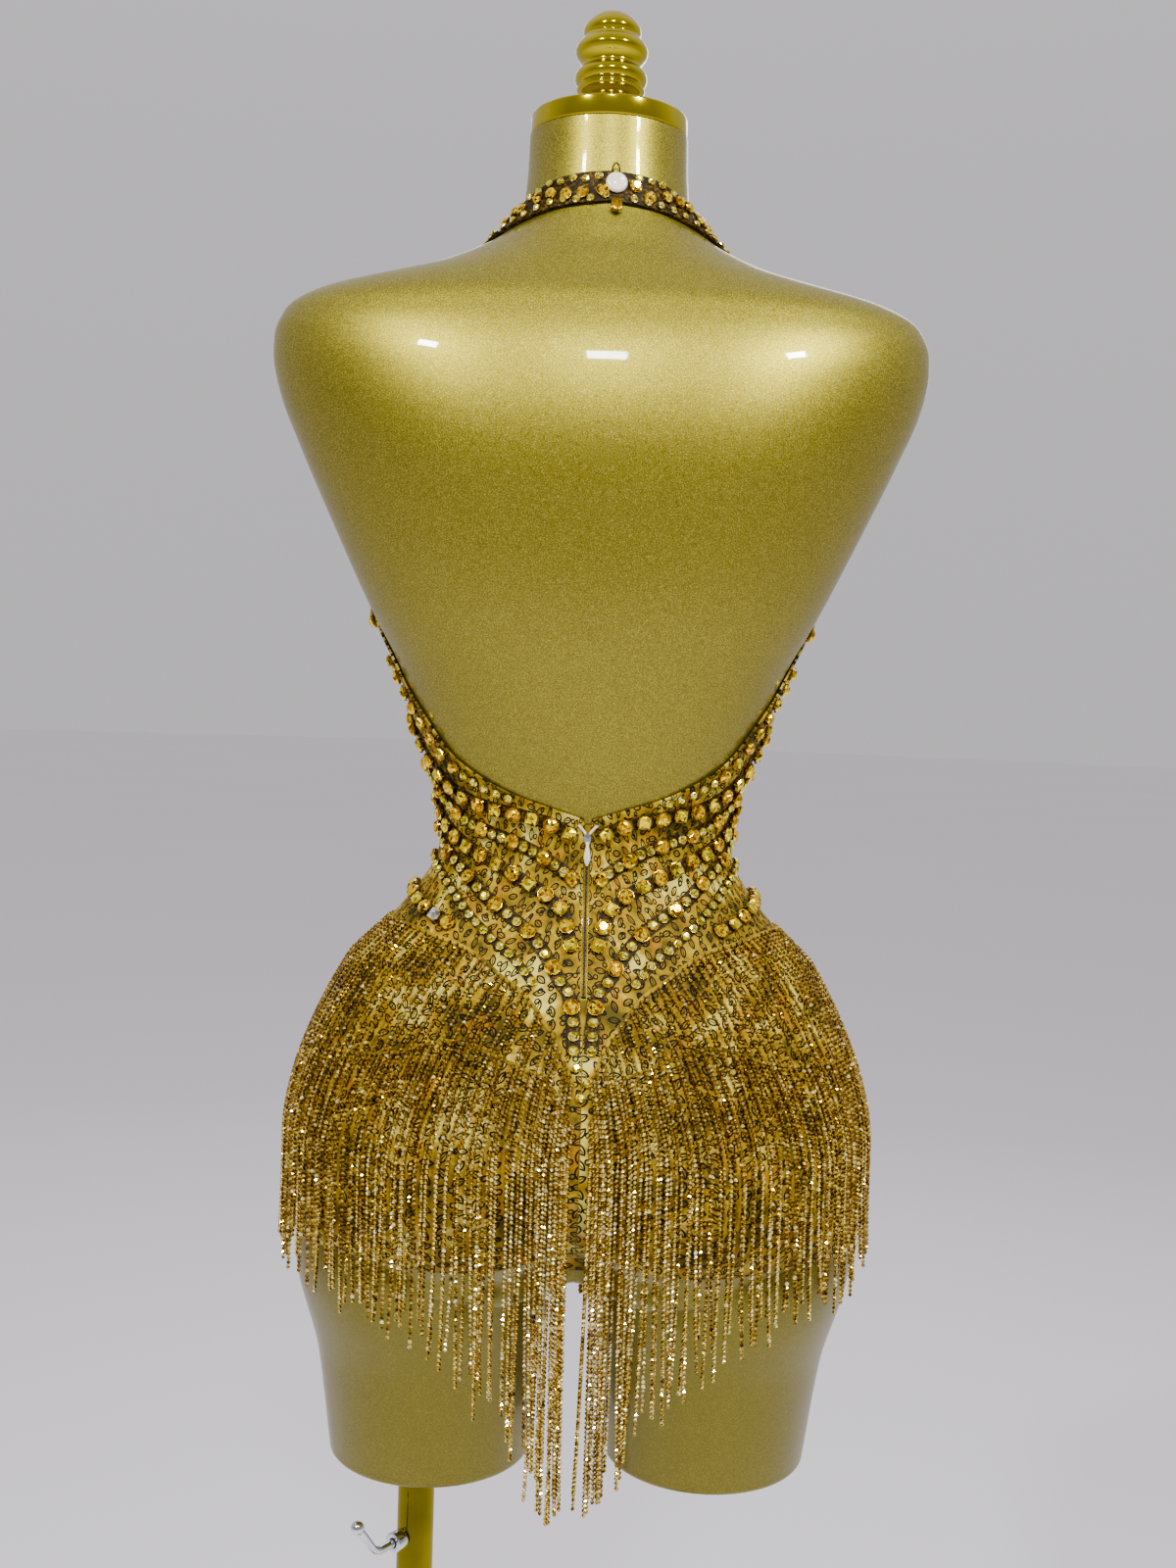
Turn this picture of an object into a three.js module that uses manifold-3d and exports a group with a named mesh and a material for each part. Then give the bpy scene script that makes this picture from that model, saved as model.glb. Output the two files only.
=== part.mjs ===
// A halter bodysuit of printed mesh, with rhinestone bands and two rows of chain fringe,
// on a limbless dress form that slides and turns on a pole stand.
// Millimetres, +Z up. -Y is the garment's back, +X the wearer's right.
// The origin is the centre of the base plate's underside.
import * as THREE from 'three';
import { mergeVertices } from 'three/addons/utils/BufferGeometryUtils.js';
import Module from 'manifold-3d';

const wasm = await Module();
wasm.setup();

// ---------------------------------------------------------------- driving dimensions

const GAP = 0.3; // between two pieces that touch

// Sections of the form, from the crotch to the top of the neck.
// half, back and front are measured from the section's middle line, which lies at y = mid;
// square is the exponent of the superellipse; cleft and groin are how far the valley on
// the centre line goes in, behind and in front.
const SECTION_COLUMNS = ['height', 'half', 'back', 'front', 'mid', 'square', 'cleft', 'groin'];
const SECTIONS = [
  [885, 163, 98, 82, -14, 2.1, 52, 34],
  [897, 164, 106, 84, -15, 2.12, 36, 22],
  [915, 164.5, 113, 87, -15, 2.15, 24, 10],
  [938, 164.5, 117, 90, -15, 2.15, 17, 3],
  [962, 163, 114, 92, -14, 2.15, 12, 0],
  [985, 158, 105, 92, -12, 2.12, 8, 0],
  [1008, 149.5, 93, 91, -9, 2.1, 5, 0],
  [1030, 139, 80, 88, -4, 2.08, 2, 0],
  [1053, 125, 70, 84, 2, 2.05, 0, 0],
  [1076, 105, 62, 78, 8, 2.02, 0, 0],
  [1099, 89, 58, 73, 13, 2, 0, 0],
  [1122, 84, 57, 70, 15, 2, 0, 0],
  [1146, 88, 61, 70, 14, 2, 0, 0],
  [1169, 96, 67, 72, 11, 2.02, 0, 0],
  [1192, 104, 74, 75, 8, 2.05, 0, 0],
  [1215, 112.5, 80, 79, 5, 2.08, 0, 0],
  [1250, 130.5, 88, 83, 1, 2.12, 0, 0],
  [1300, 154, 94, 86, -3, 2.16, 0, 0],
  [1340, 172, 93, 82, -6, 2.16, 0, 0],
  [1370, 184, 87, 76, -8, 2.14, 0, 0],
  [1393, 188, 79, 69, -10, 2.12, 0, 0],
  [1410, 185, 71, 63, -11, 2.1, 0, 0],
  [1422, 175, 65, 59, -11, 2.06, 0, 0],
  [1430, 157, 60, 55, -10, 2.02, 0, 0],
  [1436, 133, 57, 53, -9, 2, 0, 0],
  [1443, 105, 54.5, 51, -7, 2, 0, 0],
  [1451, 84, 52, 49.5, -4, 2, 0, 0],
  [1461, 65, 50, 48.5, -1, 2, 0, 0],
  [1472, 54, 47.8, 47.3, 2, 2, 0, 0],
  [1484, 48.6, 46.5, 46.7, 4.4, 2, 0, 0],
  [1497, 47, 46, 46.5, 6, 2, 0, 0],
  [1525, 46, 45.5, 45.5, 9, 2, 0, 0],
];
const SEAT = { out: 13, x: 72, height: 946, wide: 42, tall: 44 };
const BUST = { out: 26, x: 70, height: 1288, wide: 58, tall: 60 };
const VALLEY_WIDE = 30;

// Heights of the rings that the form's solid is lofted through, and the turns of its columns
// over a quarter. The cloth panels share them, so that facets lie over facets.
const HIP_HEIGHTS = [922, 946, 970, 994, 1018, 1040, 1060, 1079, 1098, 1117];
const WAIST_HEIGHTS = [1136, 1156, 1180, 1207, 1235];
const BUST_HEIGHTS = [1265, 1295, 1327, 1357, 1384, 1406];
const NECK_HEIGHTS = [1422, 1433, 1441, 1449, 1457, 1465, 1474, 1484, 1497, 1525];
const FORM_HEIGHTS = [885, 897, ...HIP_HEIGHTS, ...WAIST_HEIGHTS, ...BUST_HEIGHTS, ...NECK_HEIGHTS];
const QUARTER_TURNS = [0, 5, 13, 24, 37, 51, 65, 78, 90];

// Thigh stubs: centre is the distance of the section's middle from the centre line.
const THIGH_COLUMNS = ['height', 'centre', 'half', 'back', 'front', 'mid'];
const THIGHS = [
  [750, 82, 57, 55, 55, -5],
  [754, 82, 60, 58.5, 58.5, -5],
  [815, 83.5, 66, 71, 63, -8],
  [885, 86.5, 76.5, 88, 68, -12],
  [930, 84, 66, 70, 56, -14],
];
const THIGH_SEGMENTS = 20;

const NECK = { radius: 45.4, y: 9, low: 1525, high: 1537, edge: 2 };
// Outline of the turned finial above the neck cap: radius at each height over its foot.
const FINIAL = [[18.4, 0], [18.4, 4], [15.5, 8], [19.8, 16], [21, 22], [17.8, 30], [21, 38], [16.4, 46],
  [16.7, 50], [11, 57.6], [5.6, 59.3]];
const FINIAL_TALL = 59.7;

const POLE = { x: -90, y: 0, outer: 11, inner: 9.8, low: 8, high: 735 };
const BUSH = { outer: 11.4, tall: 4 };
const MAST = { radius: 9.4, low: 430, high: 840 };
const SOCKET = { radius: 9.8, top: 845 };
const BASE = { radius: 160, thick: 8, edge: 2.5 };
const FLANGE = { radius: 24, tall: 14, collar: 13.5 };
const ROUND = 20; // sides of the stand's turned pieces

// The clamp's axis is level and points out behind the pole; its arm rises from the elbow.
const CLAMP = { height: 692, radius: 6, out: 19, bore: 2.9, stem: 2.4, elbow: 33, arm: 26, rise: 54, ball: 4 };
const CLAMP_AXIS = new THREE.Vector3(-0.64, -0.77, 0).normalize();

const CLOTH = { clear: 1.0, thick: 1.2 };
// The cloth spans the hollow under the bust, so it stands off the form there.
const BRIDGE = { out: 1.3, height: 1280, tall: 60 };
const SEAM_HALF = 0.25; // degrees from a seam's line to a panel's edge
const ZIP = { low: 1037, high: 1130.5, half: 1.5, lift: 0.9, thick: 1.5, gap: 1.95, closed: 1015, open: 1033 };

// Edges of the back: turn is measured from the centre back, 90 is the side seam.
const BACK_NECKLINE = [[0, 1133], [14, 1139.5], [28, 1146], [42, 1155.5], [56, 1169.5], [65, 1186], [72, 1198],
  [79, 1208], [87, 1228], [90, 1234]];
const HEM = [[0, 904], [8, 902], [20, 898.5], [45, 897], [70, 894.5], [90, 893]];
const BACK_TOP_ROWS = 5; // rows between the last hip height and the neckline

// Edges of the front above the side seam's top: distances from the centre line to the
// V neckline and to the armhole, at the bust's heights and half way between some.
const FRONT_EDGES = [
  [1250, 0, 129],
  [1265, 0, 130.5],
  [1280, 0, 133],
  [1295, 7, 134.5],
  [1311, 16, 131.5],
  [1327, 24, 125.5],
  [1342, 31, 118],
  [1357, 38, 111],
  [1384, 50, 102],
  [1406, 58, 97],
];
const STRAP_END = { neckTurn: 153, neckHeight: 1438, armTurn: 142.5, armHeight: 1434 };

const GUSSET = { half: 8.5, under: 881.4, steps: [903.2, 897, 890.5], bottomY: [-63, -10, 37] };

// The halter's neck band: its two edges, turn and height.
const BAND_INNER_EDGE = [[0, 1492], [30, 1490], [60, 1482.5], [90, 1472], [118, 1459.5], [138, 1449], [152, 1441.5]];
const BAND_OUTER_EDGE = [[0, 1474.5], [30, 1471.5], [60, 1465], [90, 1457.5], [118, 1450], [132, 1444.5], [142.5, 1437]];
const NECK_BAND_STEPS = 12;
const NECK_GEM = 2.2; // how high the stones stand on the neck band
const BUTTON = { turn: 4.5, height: 1484.5, radius: 6, thick: 2.6, shank: 0.2 };
const HOOK = { turn: 4.5, height: 1475, half: 3.4, rise: 0.6, drop: 8, thick: 1.4 };

const SLIDER = { height: 1122, half: 2.3, tall: 6.5, thick: 2.2 };
// The pull swings about a level axis at its pivot; head is how far it reaches above that.
const TAB = { pivot: 1120, head: 0.5, tall: 13.5, wide: 4, neck: 1.8, thick: 1.2 };

// Gem bands over one side: rows of turn and height from the centre back to the side seam,
// repeated in mirror image on the front. A stone stands at every second step of the pitch.
const BANDS = {
  top: { pitch: 9.5,
    rows: [[5.5, 1124], [14, 1130], [33, 1136], [51, 1142], [61, 1149], [74, 1164], [90, 1186]] },
  second: { pitch: 12.5,
    rows: [[4.5, 1098], [13, 1107], [25, 1116], [41, 1123], [52, 1128], [70, 1142], [90, 1162]] },
  third: { pitch: 9.5,
    rows: [[3.4, 1062], [6, 1076], [12, 1087], [24, 1097], [38, 1106], [52, 1113], [70, 1124], [90, 1140]] },
  fourth: { pitch: 12.5,
    rows: [[1.6, 1010], [1.9, 1022], [2.7, 1034], [5, 1043], [8.6, 1054.5], [15, 1067], [24, 1077], [34, 1085],
      [47, 1096], [68, 1110], [90, 1122]] },
  hip: { pitch: 8.5,
    rows: [[42, 1069], [52, 1073], [62, 1077], [74, 1081], [90, 1084]] },
};
const BREAST_BAND = { pitch: 11, rows: [[97, 1216], [112, 1221], [132, 1214], [154, 1196], [175.5, 1168]] };
// Low is in rows of the front panel; start and end are shares of its height.
const EDGE_BAND = { pitch: 11, inset: 5, low: 3.6, start: 0.03, end: 0.995 };
const RIBBON = { wide: 5.6, lift: 1.5, thick: 0.8, gem: 2.6 };

// Chain fringe: where each row is sewn on, and how low it ends, by turn; the front mirrors the back.
const FRINGE_LINES = {
  upper: { count: 9, shift: 0.5, drape: 5.8,
    rows: [[1.3, 994], [4.2, 1012], [8.5, 1026], [12, 1035], [20, 1046], [27, 1054], [34, 1059], [45, 1062.5],
      [60, 1066], [89.6, 1066]] },
  lower: { count: 8, shift: 0.25, drape: 3.1,
    rows: [[1.4, 976], [5, 993], [12, 1003], [20, 1010], [28, 1013], [40, 1005], [60, 1000], [89.6, 998]] },
};
const FRINGE_ENDS = [[0, 757], [4, 768], [9, 800], [14, 828], [20, 848], [27, 860], [40, 870], [60, 880], [90, 885],
  [125, 876], [150, 862], [166, 838], [174, 812], [180, 795]];
const STRAND = { radius: 1.2, root: 2.2, fall: 26, stops: [1003, 974], hang: 952 };
const STRIP = { wide: 4, lift: 1.3, thick: 1.5, pitch: 12 };

// ---------------------------------------------------------------- materials

const finish = (color, roughness, metalness) => new THREE.MeshStandardMaterial({ color, roughness, metalness });
const FORM_PAINT = finish(0xa79a5e, 0.4, 0.3);
const POLISHED_GOLD = finish(0xd9b046, 0.18, 1);
const CHROME = finish(0xd8dade, 0.12, 1);
const BLACK_RUBBER = finish(0x1c1b1a, 0.7, 0);
const PRINTED_MESH = finish(0xa58a4a, 0.7, 0);
const BAND_RIBBON = finish(0x4a3018, 0.35, 0.2);
const CHAIN = finish(0xd8c48a, 0.2, 0.9);
const CREAM = finish(0xe6dfc8, 0.4, 0);

// ---------------------------------------------------------------- small mathematics

const radians = THREE.MathUtils.degToRad;
const mix = THREE.MathUtils.lerp;

// A smooth curve through a table's column, by the height (or turn) in its first column.
function curve(table, column, at) {
  const last = table.length - 1;
  const x = THREE.MathUtils.clamp(at, table[0][0], table[last][0]);
  let i = 0;
  while (i < last - 1 && x > table[i + 1][0]) i += 1;
  const step = (k) => table[k + 1][0] - table[k][0];
  const slope = (k) => (table[k + 1][column] - table[k][column]) / step(k);
  const tangent = (k) => {
    if (k === 0) return slope(0);
    if (k === last) return slope(last - 1);
    return (step(k) * slope(k - 1) + step(k - 1) * slope(k)) / (step(k) + step(k - 1));
  };
  const h = step(i);
  const t = (x - table[i][0]) / h;
  const [p, q] = [table[i][column], table[i + 1][column]];
  return (2 * t ** 3 - 3 * t ** 2 + 1) * p + (t ** 3 - 2 * t ** 2 + t) * h * tangent(i)
    + (3 * t ** 2 - 2 * t ** 3) * q + (t ** 3 - t ** 2) * h * tangent(i + 1);
}

function readRow(table, columns, at) {
  return Object.fromEntries(columns.map((name, k) => [name, k ? curve(table, k, at) : at]));
}

const sectionCache = new Map();
function section(height) {
  if (!sectionCache.has(height)) sectionCache.set(height, readRow(SECTIONS, SECTION_COLUMNS, height));
  return sectionCache.get(height);
}

const bump = (d, wide) => Math.exp(-((d / wide) ** 2));
const power = (value, exponent) => Math.sign(value) * Math.abs(value) ** exponent;

// The form's surface: turn in degrees from the centre back, positive towards +X.
function formPoint(turn, height) {
  const s = section(height);
  const [sin, cos] = [Math.sin(radians(turn)), Math.cos(radians(turn))];
  const x = s.half * power(sin, 2 / s.square);
  let y = s.mid - (cos > 0 ? s.back : s.front) * power(cos, 2 / s.square);
  const valley = bump(x, VALLEY_WIDE);
  const facing = Math.sqrt(Math.abs(cos));
  if (cos > 0) {
    const seat = SEAT.out * bump(Math.abs(x) - SEAT.x, SEAT.wide) * bump(height - SEAT.height, SEAT.tall);
    y += facing * (s.cleft * valley - seat);
  } else {
    const bust = BUST.out * bump(Math.abs(x) - BUST.x, BUST.wide) * bump(height - BUST.height, BUST.tall);
    y += facing * bust - s.groin * valley * facing;
  }
  return new THREE.Vector3(x, y, height);
}

function formNormal(turn, height) {
  const along = formPoint(turn + 0.5, height).sub(formPoint(turn - 0.5, height));
  const up = formPoint(turn, height + 0.5).sub(formPoint(turn, height - 0.5));
  return along.cross(up).normalize();
}

const onForm = (turn, height, lift) => formPoint(turn, height).addScaledVector(formNormal(turn, height), lift);

// The turn at which the form is x wide, on the front or the back.
function turnAt(x, height, front = false) {
  const s = section(height);
  const turn = THREE.MathUtils.radToDeg(Math.asin(Math.min(1, (Math.abs(x) / s.half) ** (s.square / 2))));
  return Math.sign(x || 1) * (front ? 180 - turn : turn);
}

// ---------------------------------------------------------------- closed meshes

// Makes a closed mesh and turns its faces outwards.
function closed(points, faces) {
  let volume = 0;
  for (const [a, b, c] of faces) volume += points[a].dot(points[b].clone().cross(points[c]));
  const outward = volume > 0 ? faces : faces.map(([a, b, c]) => [a, c, b]);
  const geometry = new THREE.BufferGeometry();
  geometry.setAttribute('position', new THREE.Float32BufferAttribute(points.flatMap((p) => p.toArray()), 3));
  geometry.setIndex(outward.flat());
  return geometry;
}

// A skin through rings of equal count, closed at both ends on the ring's middle. Where the
// rings run once round a body that is the same on both sides, even makes its facets so too.
function loft(rings, even = false) {
  const count = rings[0].length;
  const points = rings.flat();
  const faces = [];
  for (let r = 0; r + 1 < rings.length; r += 1) {
    for (let i = 0; i < count; i += 1) {
      const [a, b] = [r * count + i, r * count + ((i + 1) % count)];
      if (even && i >= count / 2) faces.push([a, b, a + count], [b, b + count, a + count]);
      else faces.push([a, b, b + count], [a, b + count, a + count]);
    }
  }
  const middle = (ring) => ring.reduce((sum, p) => sum.add(p), new THREE.Vector3()).divideScalar(count);
  const top = (rings.length - 1) * count;
  points.push(middle(rings[0]), middle(rings[rings.length - 1]));
  for (let i = 0; i < count; i += 1) {
    const j = (i + 1) % count;
    faces.push([j, i, points.length - 2], [top + i, top + j, points.length - 1]);
  }
  return closed(points, faces);
}

// A wall between two grids of points, shut along its four edges.
function wall(outer, inner) {
  const [columns, rows] = [outer.length, outer[0].length];
  const points = [...outer.flat(), ...inner.flat()];
  const half = columns * rows;
  const at = (i, j) => i * rows + j;
  const faces = [];
  const quad = (a, b, c, d) => faces.push([a, b, c], [a, c, d]);
  for (let i = 0; i + 1 < columns; i += 1) {
    for (let j = 0; j + 1 < rows; j += 1) {
      const [a, b, c, d] = [at(i, j), at(i + 1, j), at(i + 1, j + 1), at(i, j + 1)];
      quad(a, b, c, d);
      faces.push([a + half, c + half, b + half], [a + half, d + half, c + half]);
    }
  }
  const rim = [];
  for (let i = 0; i + 1 < columns; i += 1) rim.push(at(i, 0));
  for (let j = 0; j + 1 < rows; j += 1) rim.push(at(columns - 1, j));
  for (let i = columns - 1; i > 0; i -= 1) rim.push(at(i, rows - 1));
  for (let j = rows - 1; j > 0; j -= 1) rim.push(at(0, j));
  rim.forEach((a, k) => {
    const b = rim[(k + 1) % rim.length];
    quad(b, a, a + half, b + half);
  });
  return closed(points, faces);
}

function toSolid(geometry) {
  const bare = geometry.clone();
  bare.deleteAttribute('normal');
  bare.deleteAttribute('uv');
  const merged = mergeVertices(bare, 1e-4);
  return new wasm.Manifold(new wasm.Mesh({
    numProp: 3,
    vertProperties: new Float32Array(merged.attributes.position.array),
    triVerts: new Uint32Array(merged.index.array),
  }));
}

function fromSolid(solid) {
  const mesh = solid.getMesh();
  const geometry = new THREE.BufferGeometry();
  geometry.setAttribute('position', new THREE.BufferAttribute(new Float32Array(mesh.vertProperties), 3));
  geometry.setIndex(Array.from(mesh.triVerts));
  return geometry;
}

const joined = (pieces) => fromSolid(pieces.map(toSolid).reduce((sum, piece) => sum.add(piece)));
const cut = (piece, ...tools) => fromSolid(tools.map(toSolid).reduce((rest, t) => rest.subtract(t), toSolid(piece)));

// A turned piece: its profile runs up the outside as [radius, height] and shuts on the
// axis, or on itself where it has a bore. The lathe's own axis is Y, so it is stood up.
function turned(profile, sides = ROUND) {
  const lathe = new THREE.LatheGeometry(profile.map(([r, h]) => new THREE.Vector2(r, h)), sides);
  return lathe.rotateX(Math.PI / 2);
}
const rod = (radius, low, high, sides = ROUND) => turned([[0, low], [radius, low], [radius, high], [0, high]], sides);
const pipe = (outer, inner, low, high) => turned(
  [[inner, low], [outer, low], [outer, high], [inner, high], [inner, low]]);
// Lays a piece that was made along +Z along another direction, from a point.
function aimed(geometry, from, direction) {
  const spin = new THREE.Quaternion().setFromUnitVectors(new THREE.Vector3(0, 0, 1), direction);
  return geometry.applyQuaternion(spin).translate(from.x, from.y, from.z);
}

const model = new THREE.Group();
function add(name, geometry, material) {
  const mesh = new THREE.Mesh(geometry, material);
  mesh.name = name;
  model.add(mesh);
  return mesh;
}

const SIDES = [['left', -1], ['right', 1]];
const mirrored = (point, side) => point.set(point.x * side, point.y, point.z);

// ---------------------------------------------------------------- the form and its stand

function addForm() {
  const half = [...QUARTER_TURNS, ...QUARTER_TURNS.slice(0, -1).reverse().map((turn) => 180 - turn)];
  const turns = [...half, ...half.slice(1, -1).reverse().map((turn) => -turn)];
  const torso = loft(FORM_HEIGHTS.map((height) => turns.map((turn) => formPoint(turn, height))), true);
  const thigh = (side) => loft(THIGHS.map((row) => {
    const t = Object.fromEntries(THIGH_COLUMNS.map((name, k) => [name, row[k]]));
    return Array.from({ length: THIGH_SEGMENTS }, (_, i) => {
      const angle = (i / THIGH_SEGMENTS) * 2 * Math.PI;
      const depth = Math.cos(angle) > 0 ? t.back : t.front;
      const x = side * t.centre + t.half * Math.sin(angle);
      return new THREE.Vector3(x, t.mid - depth * Math.cos(angle), t.height);
    });
  }));
  const sole = THIGHS[0][0];
  const socket = rod(SOCKET.radius, sole - 10, SOCKET.top).translate(POLE.x, POLE.y, 0);
  add('form_body', cut(joined([torso, thigh(-1), thigh(1)]), socket), FORM_PAINT);

  const { radius, edge } = NECK;
  const [low, high] = [NECK.low + GAP, NECK.high];
  const cap = turned([[0, low], [radius - edge, low], [radius, low + edge], [radius, high - edge],
    [radius - edge, high], [0, high]], 28);
  add('neck_cap', cap.translate(0, NECK.y, 0), POLISHED_GOLD);
  const foot = NECK.high + GAP;
  const outline = [[0, foot], ...FINIAL.map(([r, h]) => [r, foot + h]), [0, foot + FINIAL_TALL]];
  add('finial', turned(outline, 16).translate(0, NECK.y, 0), POLISHED_GOLD);
}

function addStand() {
  const { radius, thick, edge } = BASE;
  add('base_plate', turned([[0, 0], [radius, 0], [radius, thick - edge], [radius - edge, thick], [0, thick]], 32),
    POLISHED_GOLD);
  const onPole = (geometry) => geometry.translate(POLE.x, POLE.y, 0);
  const foot = BASE.thick + GAP;
  const bore = POLE.outer + GAP;
  add('pole_flange', onPole(turned([[bore, foot], [FLANGE.radius, foot], [FLANGE.radius, foot + 3],
    [FLANGE.collar + 2, foot + 6], [FLANGE.collar, foot + FLANGE.tall], [bore, foot + FLANGE.tall], [bore, foot]])),
  POLISHED_GOLD);
  add('stand_tube', onPole(pipe(POLE.outer, POLE.inner, foot, POLE.high)), POLISHED_GOLD);
  add('tube_bush', onPole(pipe(BUSH.outer, POLE.inner, POLE.high + GAP, POLE.high + GAP + BUSH.tall)), BLACK_RUBBER);
  add('mast_tube', onPole(rod(MAST.radius, MAST.low, MAST.high)), POLISHED_GOLD);
}

// The clamp: a boss on the outer tube, and an elbow lever whose stem turns in it.
function addClamp() {
  const centre = new THREE.Vector3(POLE.x, POLE.y, CLAMP.height);
  const tubeSide = rod(POLE.outer + GAP, CLAMP.height - 20, CLAMP.height + 20, 40).translate(POLE.x, POLE.y, 0);
  const along = (geometry) => aimed(geometry, centre, CLAMP_AXIS);
  const boss = along(rod(CLAMP.radius, POLE.outer - 3, CLAMP.out, 16));
  const bore = along(rod(CLAMP.bore, 0, CLAMP.out + 5, 12));
  add('clamp_boss', cut(boss, bore, tubeSide), CHROME);

  const elbow = centre.clone().addScaledVector(CLAMP_AXIS, CLAMP.elbow);
  const rise = radians(CLAMP.rise);
  const armDirection = CLAMP_AXIS.clone().multiplyScalar(Math.cos(rise)).setZ(Math.sin(rise));
  const tip = elbow.clone().addScaledVector(armDirection, CLAMP.arm);
  const stem = along(rod(CLAMP.stem, POLE.outer + 1.2, CLAMP.elbow, 10));
  const arm = aimed(rod(CLAMP.stem, 0, CLAMP.arm, 10), elbow, armDirection);
  const ballAt = (point, radius) => new THREE.SphereGeometry(radius, 8, 5).translate(point.x, point.y, point.z);
  add('clamp_lever', joined([stem, arm, ballAt(elbow, CLAMP.stem + 0.2), ballAt(tip, CLAMP.ball)]), CHROME);
}

// ---------------------------------------------------------------- cloth panels

// How far the cloth's inner face lies from the form.
function standOff(turn, height) {
  const front = Math.max(0, -Math.cos(radians(turn)));
  return CLOTH.clear + BRIDGE.out * Math.sqrt(front) * bump(height - BRIDGE.height, BRIDGE.tall);
}

// A panel is a grid of places on the form. place(u, v) gives turn and height; the lines of
// the grid are shared by the panel's two faces and by what is sewn on it.
function makePanel(columns, rows, place) {
  const outer = [];
  const inner = [];
  const normals = [];
  for (let i = 0; i <= columns; i += 1) {
    const places = Array.from({ length: rows + 1 }, (_, j) => place(i / columns, j / rows));
    normals.push(places.map(([turn, height]) => formNormal(turn, height)));
    inner.push(places.map(([turn, height]) => onForm(turn, height, standOff(turn, height))));
    outer.push(places.map(([turn, height]) => onForm(turn, height, standOff(turn, height) + CLOTH.thick)));
  }
  return { columns, rows, place, inner, outer, normals };
}

// A point above a panel's outer face, with the normal there.
function abovePanel(panel, u, v, lift) {
  const x = THREE.MathUtils.clamp(u, 0, 1) * panel.columns;
  const y = THREE.MathUtils.clamp(v, 0, 1) * panel.rows;
  const i = Math.min(Math.floor(x), panel.columns - 1);
  const j = Math.min(Math.floor(y), panel.rows - 1);
  const blend = (grid) => grid[i][j].clone().lerp(grid[i + 1][j], x - i)
    .lerp(grid[i][j + 1].clone().lerp(grid[i + 1][j + 1], x - i), y - j);
  const normal = blend(panel.normals).normalize();
  return { point: blend(panel.outer).addScaledVector(normal, lift), normal };
}

// The turn of a column, with whole numbers on the form's own columns.
function columnTurn(column) {
  const k = Math.min(Math.floor(column), QUARTER_TURNS.length - 2);
  return mix(QUARTER_TURNS[k], QUARTER_TURNS[k + 1], column - k);
}
function columnOf(turn) {
  let k = 0;
  while (k < QUARTER_TURNS.length - 2 && turn > QUARTER_TURNS[k + 1]) k += 1;
  return k + (turn - QUARTER_TURNS[k]) / (QUARTER_TURNS[k + 1] - QUARTER_TURNS[k]);
}
const COLUMNS = QUARTER_TURNS.length - 1;

// Where turn and height lie in a panel whose columns keep one turn.
function findOnPanel(panel, turn, height) {
  const u = turn < 90 ? columnOf(turn) / COLUMNS : 1 - columnOf(180 - turn) / COLUMNS;
  let [low, high] = [0, panel.level ?? 1];
  for (let k = 0; k < 24; k += 1) {
    const middle = (low + high) / 2;
    if (panel.place(u, middle)[1] < height) low = middle;
    else high = middle;
  }
  return [u, low];
}

// The half width of the opening at the centre back: the zip's above, a plain seam's below.
function backSeamTurn(height) {
  const open = THREE.MathUtils.smoothstep(height, ZIP.closed, ZIP.open);
  return turnAt(mix(0.3, ZIP.gap, open), height);
}

// The place of a row that is given as a whole number and a fraction, in a list of heights.
function between(list, row) {
  const k = Math.min(Math.floor(row), list.length - 2);
  return mix(list[k], list[k + 1], row - k);
}

function backPanel() {
  const last = HIP_HEIGHTS[HIP_HEIGHTS.length - 1];
  const rows = HIP_HEIGHTS.length + BACK_TOP_ROWS;
  return makePanel(COLUMNS, rows, (u, v) => {
    const turn = Math.min(columnTurn(u * COLUMNS), 90 - SEAM_HALF);
    const hips = [curve(HEM, 1, turn), ...HIP_HEIGHTS];
    const over = v * rows - HIP_HEIGHTS.length;
    const height = over > 0 ? mix(last, curve(BACK_NECKLINE, 1, turn), over / BACK_TOP_ROWS) : between(hips, v * rows);
    return [Math.max(turn, backSeamTurn(height)), height];
  });
}

function frontPanel() {
  const upper = FRONT_EDGES.map(([height, neckline, armhole]) => ({
    arm: [turnAt(armhole, height, true), height],
    neck: [turnAt(Math.max(neckline, 0.4), height, true), height],
  }));
  upper.push({
    arm: [STRAP_END.armTurn, STRAP_END.armHeight],
    neck: [STRAP_END.neckTurn, STRAP_END.neckHeight],
  });
  const levels = [...HIP_HEIGHTS, ...WAIST_HEIGHTS];
  const lowerRows = levels.length;
  const rows = lowerRows + upper.length;
  const lower = (u, row) => {
    const turn = Math.max(180 - columnTurn((1 - u) * COLUMNS), 90 + SEAM_HALF);
    const height = between([curve(HEM, 1, 180 - turn), ...levels], row);
    return [Math.min(turn, turnAt(GAP, height, true)), height];
  };
  const across = ({ arm, neck }, u) => [mix(arm[0], neck[0], u), mix(arm[1], neck[1], u)];
  const panel = makePanel(COLUMNS, rows, (u, v) => {
    const row = v * rows;
    if (row <= lowerRows) return lower(u, row);
    const k = Math.min(Math.floor(row - lowerRows), upper.length - 1);
    const below = k === 0 ? lower(u, lowerRows) : across(upper[k - 1], u);
    const above = across(upper[k], u);
    const part = row - lowerRows - k;
    return [mix(below[0], above[0], part), mix(below[1], above[1], part)];
  });
  panel.level = lowerRows / rows;
  return panel;
}

const BACK = backPanel();
const FRONT = frontPanel();

const mirrorGrid = (grid, side) => grid.map((line) => line.map((p) => mirrored(p.clone(), side)));

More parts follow.
